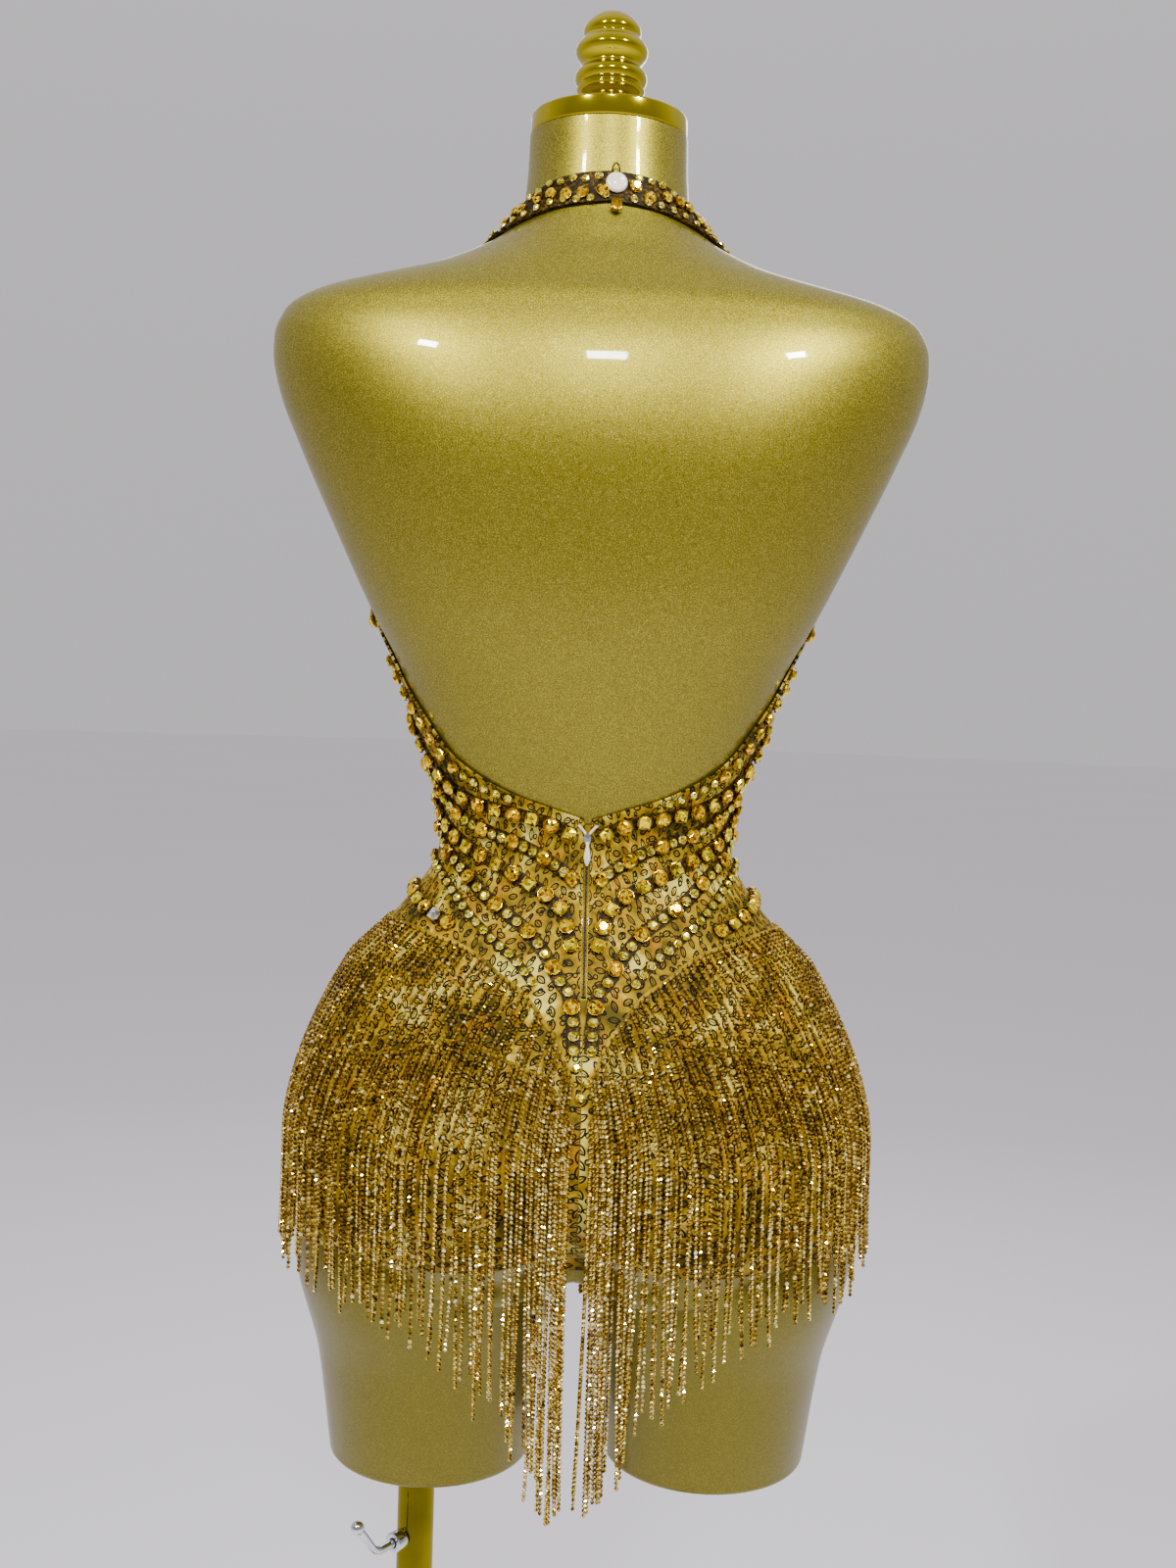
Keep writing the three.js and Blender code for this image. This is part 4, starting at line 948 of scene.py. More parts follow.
# %% [markdown]
# ## Where the panels lie
# A panel is a grid of turns and heights. The back opens a little at the zip, and the front
# runs on into its strap, so its upper rows go from the armhole to the neckline.

# %% Places of the panels
def back_places(columns=72, rows=96):
    """From the centre back's opening to the side seam, and from the hem to the neckline."""
    u, v = np.meshgrid(np.linspace(0, 1, columns), np.linspace(0, 1, rows), indexing="ij")
    guess = u * (90 - SEAM)
    low, high = curve(HEM, guess)[..., 0], curve(BACK_NECKLINE, guess)[..., 0]
    height = low + (high - low) * v
    opening = np.clip((height - ZIP["closed"]) / (ZIP["open"] - ZIP["closed"]), 0, 1)
    opening = opening ** 2 * (3 - 2 * opening)
    start = turn_at(0.3 + (ZIP["gap"] - 0.3) * opening, height)
    return start + u * (90 - SEAM - start), height


def front_edge(which, part):
    """An edge of the front above the side seam's top: a smooth curve through its stations."""
    column = {"neck": 1, "arm": 2}[which]
    first = (90 + SEAM, FRONT_LEVEL) if which == "arm" else (179.85, FRONT_LEVEL)
    rows = [first] + [(float(turn_at(r[column], r[0], True)), r[0]) for r in FRONT_EDGES] + [STRAP_END[which]]
    table = [[k / (len(rows) - 1), *row] for k, row in enumerate(rows)]
    return np.moveaxis(curve(table, part), -1, 0)


def front_places(columns=72, lower=72, upper=84):
    """Up to the side seam's top the rows run level; above it they run from armhole to neckline."""
    u, v = np.meshgrid(np.linspace(0, 1, columns), np.linspace(0, 1, lower), indexing="ij")
    turn = 90 + SEAM + u * (90 - SEAM - 0.15)
    hem = curve(HEM, 180 - turn)[..., 0]
    height = hem + (FRONT_LEVEL - hem) * v
    u, w = np.meshgrid(np.linspace(0, 1, columns), np.linspace(0, 1, upper)[1:], indexing="ij")
    arm, neck = front_edge("arm", w), front_edge("neck", w)
    return (np.concatenate([turn, arm[0] + (neck[0] - arm[0]) * u], 1),
            np.concatenate([height, arm[1] + (neck[1] - arm[1]) * u], 1))


print("grids:", back_places()[0].shape, "points for a back,", front_places()[0].shape, "for a front")

# %% [markdown]
# ## Cutting the panels
# A back is one piece from the side seam to the zip, and a front is cut in one with its strap.
# Each is made once and mirrored, which gives the same cloth to both sides.

# %% Backs and fronts
SIDES = (("left", -1), ("right", 1))
cut_list = {}
for side_name, side in SIDES:
    make_cloth_piece(f"back_panel_{side_name}", *back_places(), side, CLOTH, f"back_{side_name}")
    make_cloth_piece(f"front_panel_{side_name}", *front_places(), side, CLOTH, f"front_{side_name}")

# %% [markdown]
# ## Seam allowances
# Where two panels meet, their edges are turned in and lie behind the seam. One narrow strip
# under each centre seam stands for them, and keeps the paint from showing between the panels.

# %% Seam allowances
SEAMS = {"back": (0.0, 914.0, 1036.0), "front": (180.0, 914.0, 1226.0)}     # turn, low, high
ALLOWANCE = {"half": 2.4, "below": (0.4, 1.2)}


def seam_wall(turn, low, high):
    """A narrow wall of cloth behind a seam: level across and as steep as the form along it."""
    heights = np.linspace(low, high, 60)
    across = np.array([-1.0, 0.0, 1.0])[:, None, None] * np.array([ALLOWANCE["half"], 0, 0])
    top = cloth_top(turn, heights)
    return [on_form(turn, heights, top - below)[None] + across for below in ALLOWANCE["below"]]


for seam_name, seam in SEAMS.items():
    make_piece(f"seam_allowance_{seam_name}", *shell(*seam_wall(*seam)), NET, slot="printed_mesh")
print("seams lined")

# %% [markdown]
# ## Gusset
# The gusset joins back and front between the thighs: a strip through nine stations, down the
# back, across under the form and up the front.

# %% Gusset
GUSSET = {"half": 8.5, "under": 881.4, "steps": [903.2, 897, 890.5], "y": [-63, -10, 37], "hollow": 1.2}


def gusset_rows():
    """Stations [x, y, z, then the way out] down the back valley, across, and up the front one."""
    back, front = ([[*form_point(turn, z), *form_normal(turn, z)] for z in GUSSET["steps"]]
                   for turn in (0, 180))
    under = [[0, y, GUSSET["under"] + CLEAR, 0, 0, -1.0] for y in GUSSET["y"]]
    return np.array(back + under + front[::-1])


stations = gusset_rows()
smooth = curve(np.column_stack([np.arange(9), stations]), np.linspace(0, 8, 65))
across = np.linspace(-1, 1, 9)[:, None, None]
centre, outward = smooth[None, :, :3], smooth[None, :, 3:]
outward = outward / np.linalg.norm(outward, axis=-1, keepdims=True)
crown = (1 - across ** 2) * -GUSSET["hollow"] * (np.abs(outward[..., 2:]) < 0.9)
strip = centre + across * np.array([GUSSET["half"], 0, 0]) + outward * crown
gusset_outer, gusset_inner = strip + outward * (CLEAR + THICK), strip + outward * CLEAR
gusset = make_piece("gusset_strip", *shell(gusset_outer, gusset_inner), CLOTH, slot="printed_mesh",
                    replaces="gusset", uv=np.concatenate([cloth_map(gusset_outer).reshape(-1, 2)] * 2))

# %% [markdown]
# ## Neck band
# A dark padded strip lies round the nape, and its ends meet the straps. It is laid between two
# curves on the form, so that it narrows towards the straps as a sewn band does.

# %% Neck band
BAND_INNER = [[0, 1492], [30, 1490], [60, 1482.5], [90, 1472], [118, 1459.5], [138, 1449], [152, 1441.5]]
BAND_OUTER = [[0, 1474.5], [30, 1471.5], [60, 1465], [90, 1457.5], [118, 1450], [132, 1444.5], [142.5, 1437]]


def band_places(part, across):
    """Part runs from one strap's end to the other, minus one to one; across from edge to edge."""
    reach = np.abs(part)[..., None] * 6
    tables = [curve([[k, *row] for k, row in enumerate(t)], reach[..., 0]) for t in (BAND_INNER, BAND_OUTER)]
    mixed = tables[0] + (tables[1] - tables[0]) * across[..., None]
    return np.sign(part) * mixed[..., 0], mixed[..., 1]


parts, acrosses = np.meshgrid(np.linspace(-1, 1, 145), np.linspace(0, 1, 9), indexing="ij")
band_turn, band_height = band_places(parts, acrosses)
puff = 0.5 * np.sin(math.pi * acrosses)
neck_outer = on_form(band_turn, band_height, CLEAR + THICK + puff)
neck_inner = on_form(band_turn, band_height, CLEAR)
neck_band = make_piece("neck_strip", *shell(neck_outer, neck_inner), RIBBON, slot="printed_mesh",
                       replaces="neck_band", uv=np.concatenate([cloth_map(neck_outer).reshape(-1, 2)] * 2))

# %% [markdown]
# ## Stones in claws
# A stone is a small cut shape in a gold cup. The large ones are held by four claws, and the
# small ones are pressed in without any. One template of each is made, and copies are written
# with one product of arrays: each copy's three axes times the template.

# %% Stone templates
def rings_of(profile, sides, turn=0.0, squareness=0.0):
    """Rings of a cut shape; squareness pulls the round outline towards a square."""
    rows = []
    for radius, height, shift in profile:
        angle = (np.arange(sides) + shift) * 2 * math.pi / sides + turn
        square = 1 / np.maximum(np.abs(np.cos(angle)), np.abs(np.sin(angle)))
        reach = radius * (1 - squareness + squareness * square)
        rows.append(np.stack([reach * np.cos(angle), reach * np.sin(angle), np.full(sides, height)], -1))
    return np.array(rows)


def claw_rings(angle, out, lean, low, high):
    """A claw stands on the x axis and leans in at its top; then it is turned to its angle."""
    x = out + np.array([-0.3, 0.35, 0.35, -0.3]) - np.array([[0.0], [lean]])
    y = np.array([-0.35, -0.35, 0.35, 0.35]) + np.zeros((2, 1))
    z = np.array([[low], [high]]) + np.zeros(4)
    c, s = math.cos(angle), math.sin(angle)
    return np.stack([x * c - y * s, x * s + y * c, z], -1)


CUP = [[0.9, 0, 0], [1, 0.2, 0], [1.03, 0.42, 0], [0.9, 0.44, 0]]      # share of radius and height, shift
CUT = [[0.6, 0.3, 0], [0.95, 0.46, 0], [0.8, 0.76, 0.5], [0.5, 1, 0]]


def stone_template(width, height, sides, squareness=0.0, claws=4):
    """The cup is slot 0 and the stone slot 1: girdle, crown and table rings over a hidden foot."""
    r, turn = width / 2, math.pi / sides if squareness else 0.0
    parts = [skin(rings_of(np.array(profile) * [r, height, 1], sides, turn, squareness))
             for profile in (CUP, CUT)]
    for k in range(claws):
        parts.append(skin(claw_rings((k + 0.5) * 2 * math.pi / claws, r * (1 + squareness * 0.36) * 0.98,
                                     r * 0.14, height * 0.2, height * 0.6)))
    return parts, [0, 1] + [0] * claws


def flatten_template(parts, slots):
    """One set of points, quads and triangles, with a slot for each face."""
    points, blocks = together(*parts)
    marks = [np.full(len(block), slot) for (_, own), slot in zip(parts, slots) for block in own]
    made = [points]
    for corners in (4, 3):
        chosen = [pair for pair in zip(blocks, marks) if pair[0].shape[1] == corners]
        made += [np.concatenate(column) for column in zip(*chosen)]
    return made


ROUND_STONE = flatten_template(*stone_template(8.4, 4.0, 10))
SQUARE_STONE = flatten_template(*stone_template(7.2, 3.8, 8, 0.82))
SMALL_STONE = flatten_template(*stone_template(5.4, 2.7, 8, claws=0))
print("stones:", [len(t[0]) for t in (ROUND_STONE, SQUARE_STONE, SMALL_STONE)], "points")

# %% [markdown]
# ## The chain's link
# A link is the smallest thing here and there are thousands, so it has sixteen triangles. Its
# waist is twisted, which makes neighbours glint in different directions.

# %% Link template
def bead(radius, half, waist):
    """A chain's link: two tips and between them two rings of four, the second turned an eighth,
    so that a row of them catches the light like twisted rope."""
    around = np.arange(4) * math.pi / 2
    rings = [np.stack([np.full(4, x), radius * np.cos(around + a), radius * np.sin(around + a)], -1)
             for x, a in ((-waist, 0.0), (waist, math.pi / 4))]
    k, after = np.arange(4), (np.arange(4) + 1) % 4
    quads = np.stack([k, after, after + 4, k + 4], -1)
    tris = np.concatenate([np.stack([np.full(4, 8), after, k], -1),
                           np.stack([np.full(4, 9), k + 4, after + 4], -1)])
    points = np.concatenate([*rings, [[-half, 0, 0], [half, 0, 0]]])
    return points, quads, np.zeros(4, int), tris, np.zeros(8, int)


LINK = bead(1.15, 1.5, 0.45)
templates = (ROUND_STONE, SQUARE_STONE, SMALL_STONE, LINK)
print("templates:", [len(quads) * 2 + len(tris) for _, quads, _, tris, _ in templates], "triangles")
print("link:", len(LINK[0]), "points")

# %% [markdown]
# ## Many copies at once
# An object for each stone would be slow and heavy. All the copies of a template are instead
# worked out in one go and written into one mesh.

# %% Copies of a template
def copies(template, centres, axes):
    """Every point of the template at every place: centre plus axes times the point. Axes is
    [copy, xyz, axis]. Returns points, quads, quad slots, triangles and triangle slots."""
    points, quads, quad_slots, tris, tri_slots = template
    count = len(centres)
    placed = centres[:, None] + np.einsum("nij,pj->npi", axes, points)
    start = (np.arange(count) * len(points))[:, None, None]
    return (placed.reshape(-1, 3), (quads[None] + start).reshape(-1, 4), np.tile(quad_slots, count),
            (tris[None] + start).reshape(-1, 3), np.tile(tri_slots, count))


def frames(along, out, twist=0.0, tilt=0.0):
    """Axes for copies: x along the track, z out; twist turns about z, and tilt tips z at random."""
    out = out + rng.normal(0, tilt, out.shape) if tilt else out
    out = out / np.linalg.norm(out, axis=-1, keepdims=True)
    side = np.cross(out, along)
    side /= np.linalg.norm(side, axis=-1, keepdims=True)
    ahead = np.cross(side, out)
    c, s = np.cos(twist)[..., None], np.sin(twist)[..., None]
    return np.stack([ahead * c + side * s, side * c - ahead * s, out], -1)


print("copies ready")

# %% [markdown]
# ## Gem bands
# A band is a dark ribbon along a curve on the cloth. The curve is a short table of turn and
# height from the centre back to the side seam, and its mirror image goes on round the front.
# Stones follow it at their own spacing, in a repeating order.

# %% Tracks on the cloth
def distance_along(points):
    """How far each point of a path is from its start."""
    return np.concatenate([[0], np.cumsum(np.linalg.norm(np.diff(points, axis=0), axis=1))])


def measured(turn, height):
    """A track: close places on the cloth, with their distance from its start."""
    return distance_along(on_form(turn, height, cloth_top(turn, height))), turn, height


def track(rows, mirrored, steps=30):
    """Close places along a table of turn and height, and along its image in the side seam."""
    rows = np.asarray(rows, float)
    if mirrored:
        rows = np.concatenate([rows, np.stack([180 - rows[::-1, 0], rows[::-1, 1]], -1)[1:]])
    spans = [np.linspace(a, b, steps, endpoint=False) for a, b in zip(rows[:-1, 0], rows[1:, 0])]
    turn = np.concatenate([*spans, rows[-1:, 0]])
    return measured(turn, curve(rows, turn)[:, 0])


def places_at(path, distances, lift):
    """Points, ways along and ways out at distances along a track, lifted off the cloth."""
    (t1, h1), (turn, height), (t2, h2) = (
        [np.interp(distances + shift, path[0], values) for values in path[1:]] for shift in (-0.5, 0.0, 0.5))
    ahead = form_point(t2, h2) - form_point(t1, h1)
    here = on_form(turn, height, cloth_top(turn, height) + lift)
    return here, ahead / np.linalg.norm(ahead, axis=1, keepdims=True), form_normal(turn, height)


print("tracks ready")

# %% [markdown]
# ## Ribbons and orders
# A ribbon is a thin section carried along a track. The order of its stones is a short
# pattern that repeats, after a lead of its own where the band begins.

# %% Ribbons and orders
RIBBON_SECTION = np.array([[-0.5, 0], [0.5, 0], [0.5, 0.5], [0.3, 1], [-0.3, 1], [-0.5, 0.5]])
RIBBON_STEP = 3.0


def ribbon_rings(path, wide, lift, thick):
    """A ribbon's section is a flat lozenge with soft edges, carried along the track."""
    here, ahead, out = places_at(path, np.arange(0.0, path[0][-1], RIBBON_STEP), lift)
    side = np.cross(out, ahead)
    x, z = RIBBON_SECTION[None, :, :1] * wide, RIBBON_SECTION[None, :, 1:] * thick
    return here[:, None] + side[:, None] * x + out[:, None] * z


def order_along(length, pattern, start, lead=()):
    """Distances and kinds: the lead first, then the pattern of (kind, step) over and over."""
    places, at = [], start
    for kind, step in itertools.chain(lead, itertools.cycle(pattern)):
        if at >= length - 2:
            return places
        places.append((at, kind))
        at += step


print("ribbon:", len(RIBBON_SECTION), "points round")

# %% [markdown]
# ## Setting the stones
# Each stone is turned and tipped a little at random, as stones set by hand are, and every
# facet gets its random glint: painted highlight or painted shade.

# %% Setting the stones
KINDS = {"round": (ROUND_STONE, 1), "square": (SQUARE_STONE, 2), "small": (SMALL_STONE, 3)}


def make_stones(name, groups, side, finishes=(CLAW_GOLD_AND_PAINTED_SHADE, AMBER, CITRINE, PALE), scale=1.0):
    """groups is a list of (kind, points, along, out); every stone becomes part of one mesh."""
    all_points, all_quads, all_tris, quad_slots, tri_slots, base = [], [], [], [], [], 0
    for kind, centres, along, out in groups:
        template, stone_slot = KINDS[kind]
        twist = rng.normal(0, 0.12, len(centres))
        axes = frames(along, out, twist, tilt=0.05) * scale
        points, quads, quad_marks, tris, tri_marks = copies(template, centres, axes)
        all_points.append(points)
        all_quads.append(quads + base)
        all_tris.append(tris + base)
        quad_slots.append(quad_marks * stone_slot)
        tri_slots.append(tri_marks * stone_slot)
        base += len(points)
    slots = np.concatenate(quad_slots + tri_slots)
    points = np.concatenate(all_points) * np.array([side, 1, 1])
    # Every facet's glint is a random painted highlight or shade.
    make_piece(name, points, [np.concatenate(all_quads), np.concatenate(all_tris)], finishes,
               slot="gem_band", sharp=None, slots=slots, glint=rng.random(len(slots)))


def groups_along(path, order, lift):
    """The stones of an order, gathered by kind."""
    made = []
    for kind in KINDS:
        distances = np.array([at for at, k in order if k == kind])
        if len(distances):
            made.append((kind, *places_at(path, distances, lift)))
    return made


print("kinds of stone:", list(KINDS))

# %% [markdown]
# ## Bands round the waist
# Five bands run from near the middle of the back to the side seam and on over the front, and
# fall towards the middle in a V. A short one lies on each hip, and one crosses each breast.
# Each is an entry of a table, so that one loop makes them all and a band can be moved by
# changing its numbers.

# %% Bands round the waist
ALTERNATE = [("square", 11.2), ("round", 11.2)]
TRIO = [("round", 7.2), ("small", 6.2), ("small", 7.2)]
WIDE_TRIO = [("round", 9.2), ("small", 7.6), ("small", 9.2)]
USUAL = {"lead": (), "mirrored": True, "wide": 8.0, "scale": 1.1, "clear": ()}
BANDS = {
    "top": {"order": ALTERNATE, "start": 2.5,
            "rows": [[5.5, 1124], [14, 1130], [33, 1136], [51, 1142], [61, 1149], [74, 1164], [90, 1186]]},
    "second": {"order": TRIO, "start": 1.0, "lead": (("round", 5.6), ("small", 7.0), ("small", 7.2)),
               "rows": [[4.5, 1098], [13, 1107], [25, 1116], [41, 1123], [52, 1128], [70, 1142],
                        [90, 1162]]},
    "third": {"order": [("square", 11.6), ("round", 11.6)], "start": 0.5,
              "rows": [[3.4, 1062], [6, 1076], [12, 1087], [24, 1097], [38, 1106], [52, 1113],
                       [70, 1124], [90, 1140]]},
    "fourth": {"order": WIDE_TRIO, "start": 1.0, "lead": (("small", 8.2), ("small", 8.4), ("small", 8.6)),
               "rows": [[1.6, 1010], [1.9, 1022], [2.7, 1034], [5, 1043], [8.6, 1054.5], [15, 1067],
                        [24, 1077], [34, 1085], [47, 1096], [68, 1110], [90, 1122]]},
    "hip": {"order": [("round", 11.0), ("square", 11.0)], "start": 2.0, "clear": (1,),
            "rows": [[42, 1069], [52, 1073], [62, 1077], [74, 1081], [90, 1084]]},
    "fifth": {"order": [("small", 7.2)], "start": 1.0, "wide": 5.4, "scale": 1.0, "replaces": None,
              "rows": [[11.5, 1043], [16, 1052], [25, 1063], [35, 1073], [47, 1084], [60, 1093],
                       [75, 1100], [90, 1104]]},
    "breast": {"order": ALTERNATE, "start": 2.0, "mirrored": False,
               "rows": [[97, 1216], [112, 1221], [132, 1214], [154, 1196], [175.5, 1168]]},
}
RIBBON_LIFT, RIBBON_THICK = 0.25, 0.6
TIPS = np.array([[-0.9, 1003.0], [0.9, 996.0], [0.0, 989.0]])     # three small stones under the V


def make_band(name, path, listed, replaces, wide, scale, clear=()):
    """A ribbon and its stones on both sides; clear gives the colourless stones of the left."""
    rings = ribbon_rings(path, wide, RIBBON_LIFT, RIBBON_THICK)
    kept = [stone for k, stone in enumerate(listed) if k not in clear]
    for side_name, side in SIDES:
        groups = groups_along(path, kept if side < 0 else listed, RIBBON_LIFT + RIBBON_THICK)
        make_piece(f"{name}_ribbon_{side_name}", *skin(rings * np.array([side, 1, 1])), RIBBON,
                   slot="gem_band", replaces=f"{replaces}_{side_name}" if replaces else ())
        make_stones(f"{name}_stones_{side_name}", groups, side, scale=scale)
    if clear:
        few = groups_along(path, [listed[k] for k in clear], RIBBON_LIFT + RIBBON_THICK)
        make_stones(f"{name}_clear_stone", few, -1, (CLAW_GOLD_AND_PAINTED_SHADE, WATER, WATER, WATER), scale=scale)
    print(f"{name}: {len(listed)} stones a side")


for name, own in BANDS.items():
    band = {**USUAL, "replaces": f"band_{name}", **own}
    path = track(band["rows"], band["mirrored"])
    listed = order_along(path[0][-1], band["order"], band["start"], band["lead"])
    make_band(f"{name}_band", path, listed, band["replaces"], band["wide"], band["scale"], band["clear"])
turn, height = TIPS.T
tip_at = on_form(turn, height, cloth_top(turn, height) + 0.6)
make_stones("tip_stones", [("small", tip_at, np.tile([1.0, 0, 0], (3, 1)), form_normal(turn, height))], 1)

# %% [markdown]
# ## Edge bands
# Neckline and armhole are bound with the same stones, from the side seam up to the strap's
# end. Their tracks run a set distance inside the front's two edges.

# %% Neckline and armhole bands
EDGE = {"inset": 5.0, "end": 0.995, "wide": 7.0, "start": 2.0}
EDGE_BANDS = {"neckline": ("neck", 0.327), "armhole": ("arm", 0.05)}      # the edge and where it begins
BACK_EDGE = [[30, 1143.5], [42, 1150], [52, 1158], [60, 1168], [66, 1180], [73, 1192], [80, 1204],
             [89.5, 1226]]


def edge_track(which, start):
    """Places a set distance inside an edge: the share of the row is the inset over its length."""
    part = np.linspace(start, EDGE["end"], 260)
    arm, neck = front_edge("arm", part), front_edge("neck", part)
    share = EDGE["inset"] / np.linalg.norm(form_point(*arm) - form_point(*neck), axis=-1)
    return measured(*(arm + (neck - arm) * (share if which == "arm" else 1 - share)))


for name, edge in EDGE_BANDS.items():
    path = edge_track(*edge)
    listed = order_along(path[0][-1], TRIO, EDGE["start"])
    make_band(f"{name}_band", path, listed, f"band_{name}", EDGE["wide"], 1.0)
path = track(BACK_EDGE, mirrored=False)
listed = order_along(path[0][-1], [("round", 11.0), ("square", 11.0)], 1.0, lead=[("small", 7.6)] * 5)
groups = groups_along(path, listed, 0.2)
for side_name, side in SIDES:
    make_stones(f"back_edge_stones_{side_name}", groups, side)
print("edge bands made")

# %% [markdown]
# ## Stones on the neck band
# Here the stones are scattered rather than ruled: rounds down the middle and small ones in
# the gaps above and below, each moved a little at random.

# %% Neck stones
def neck_places(part, across, lift):
    """As a track's places, but over the neck band."""
    turn, height = band_places(part, across)
    here = on_form(turn, height, CLEAR + THICK + lift)
    next_turn, next_height = band_places(part + 0.004, across)
    ahead = form_point(next_turn, next_height) - form_point(turn, height)
    return here, ahead / np.linalg.norm(ahead, axis=1, keepdims=True), form_normal(turn, height)


BUTTON_PART = 0.03         # where along the band the button sits
big_parts = np.linspace(-0.97, 0.97, 34)
big_parts = big_parts[np.abs(big_parts - BUTTON_PART) > 0.05]
big_parts = big_parts + rng.normal(0, 0.004, len(big_parts))
big_across = np.clip(0.5 + rng.normal(0, 0.16, len(big_parts)), 0.3, 0.7)
small_parts = np.linspace(-0.98, 0.98, 84)
small_across = np.where(np.arange(84) % 2 == 0, 0.14, 0.86) + rng.normal(0, 0.05, 84)
away = np.abs(small_parts - BUTTON_PART) > 0.035
small_parts, small_across = small_parts[away], small_across[away]
make_stones("neck_stones", [("round", *neck_places(big_parts, big_across, 0.35)),
                            ("small", *neck_places(small_parts, small_across, 0.1))], 1, scale=0.86)
print("neck stones:", len(big_parts), "round and", len(small_parts), "small")

# %% [markdown]
# ## Button, loop and hook
# The band closes at the nape with a cream disc button; a wire loop stands over it and a
# small plated hook hangs under it.

# %% Neck fastening
BUTTON = (4.5, 1484.5, 2.7)     # turn, height, seat above the form
BUTTON_PROFILE = [[0.6, 0], [4.8, 0], [5.7, 0.5], [6, 1.2], [5.8, 1.8], [5.1, 2.4], [4.2, 2.6], [3.6, 2.35],
                  [1.8, 2.5], [0.3, 2.6]]
LOOP = {"place": (4.0, 1488.5), "seat": 2.9, "wide": 2.4, "tall": 7.5, "bow": 0.5, "radius": 0.5}
WIRE_BESIDE = [0.31, 0.92, 0.24]
HOOK = (4.5, 1475, 2.5)
HOOK_EDGE = [[0.6, 2.108], [-2, 3.06], [-6, 3.4], [-8, 1.19]]      # height, half width
HOOK_LEVELS = [[1.0, 0.0], [1.0, 0.9], [0.86, 1.3], [0.5, 1.4], [0.42, 0.9]]     # scale, how far out
HOOK_MIDDLE = -3.7


def local_axes(turn, height):
    """Across, up and out at a place on the form, and the place."""
    out = form_normal(turn, height)
    across = np.cross([0, 0, 1.0], out)
    across /= np.linalg.norm(across)
    return form_point(turn, height), across, np.cross(out, across), out


def laid(rings, turn, height, seat):
    """Rings made flat, with their height outwards, moved to a place on the form."""
    at, across, up, out = local_axes(turn, height)
    return at + out * seat + rings[..., :1] * across + rings[..., 1:2] * up + rings[..., 2:] * out


def both_edges(half, z):
    """A closed outline: down one side and back up the other."""
    return np.concatenate([np.stack([half, z], -1), np.stack([-half, z], -1)[::-1]])


def loop_path(steps=20):
    """Half an ellipse standing up from two feet."""
    at, across, up, out = local_axes(*LOOP["place"])
    angle = np.linspace(0, math.pi, steps)[:, None]
    return (at + out * LOOP["seat"] + across * LOOP["wide"] * np.cos(angle)
            + up * LOOP["tall"] * np.sin(angle) + out * LOOP["bow"] * np.sin(angle))


def hook_rings():
    z = np.linspace(HOOK_EDGE[0][0], HOOK_EDGE[-1][0], 22)
    heights, halves = np.array(HOOK_EDGE).T
    x, z = both_edges(np.interp(-z, -heights, halves), z).T
    return np.array([np.column_stack([x * s, (z - HOOK_MIDDLE) * s + HOOK_MIDDLE, np.full(len(x), out)])
                     for s, out in HOOK_LEVELS])


make_piece("disc_button", *skin(laid(turned(BUTTON_PROFILE, 48), *BUTTON)), ENAMEL, slot="cream",
           replaces="neck_button")
make_piece("button_loop", *skin(swept(loop_path(), LOOP["radius"], WIRE_BESIDE, 8)), RIBBON,
           slot="gem_band", sharp=60)
make_piece("band_hook", *skin(laid(hook_rings(), *HOOK)), CLAW_GOLD_AND_PAINTED_SHADE, slot="chrome", replaces="neck_hook")
print("neck fastening made")

# %% [markdown]
# ## The zip
# Two rows of moulded teeth mesh in a fine coil. The slider stays closed at the top; its
# slender cream pull hangs from it and is the one part of the zip that moves.

# %% Zip
ZIP_LINE = {"low": 1037.5, "high": 1130.0, "under": 0.9, "face": 2.1, "pitch": 1.3}
TAPE_ACROSS = (-1.5, -0.495, 0.495, 1.5)
COIL = {"across": (-0.45, 0.45), "lifts": (2.38, 2.12)}
TOOTH = [(0.5, 0, 0.5), (0.55, 0.4, 0.5), (0.3, 0.6, 0.5)]     # radius, height, shift of each ring
SLIDER = {"height": 1122, "half": 2.3, "tall": 6.5, "near": -44.92, "thick": 2.2}
SLIDER_LEVELS = [(0.9, 0), (1, 0.15), (1, 0.6), (0.86, 0.9), (0.6, 1.0)]      # scale, share of the thickness
PULL = {"top": 1120.5, "long": 13.5, "middle": 1113.7}
PULL_EDGE = [[0, 0.7], [0.08, 0.95], [0.16, 0.75], [0.3, 1.2], [0.62, 1.95], [0.84, 1.4], [1, 0.35]]
PULL_LEVELS = [(0.82, -47.42), (1, -47.7), (1, -48.3), (0.8, -48.62)]         # scale, y
WING = {"foot": 1125.2, "rise": 5.0, "near": 1.2, "far": 4.2, "seat": 2.9, "radius": 0.75}


def centre_line(heights, lift):
    return on_form(np.zeros_like(heights), heights, lift)


def strip_wall(heights, stations, lifts):
    """A strip down the centre line, as the outer and inner face of a thin wall."""
    across = np.array(stations)[:, None, None] * np.array([1.0, 0, 0])
    return [centre_line(heights, lift)[None] + across for lift in lifts]


def make_teeth():
    """Small blocks, set a little left and right by turns."""
    tooth = flatten_template([skin(rings_of(TOOTH, 4))], [0])
    places = np.arange(ZIP_LINE["low"] + 1, SLIDER["height"] - 3, ZIP_LINE["pitch"])
    centres = centre_line(places, ZIP_LINE["face"])
    centres[:, 0] += np.where(np.arange(len(places)) % 2 == 0, -0.2, 0.2)
    out, along = form_normal(np.zeros_like(places), places), np.tile([1.0, 0, 0], (len(places), 1))
    points, quads, _, tris, _ = copies(tooth, centres, frames(along, out))
    make_piece("zip_teeth", points, [quads, tris], RIBBON, slot="chain", sharp=None)
    print("zip:", len(places), "teeth")


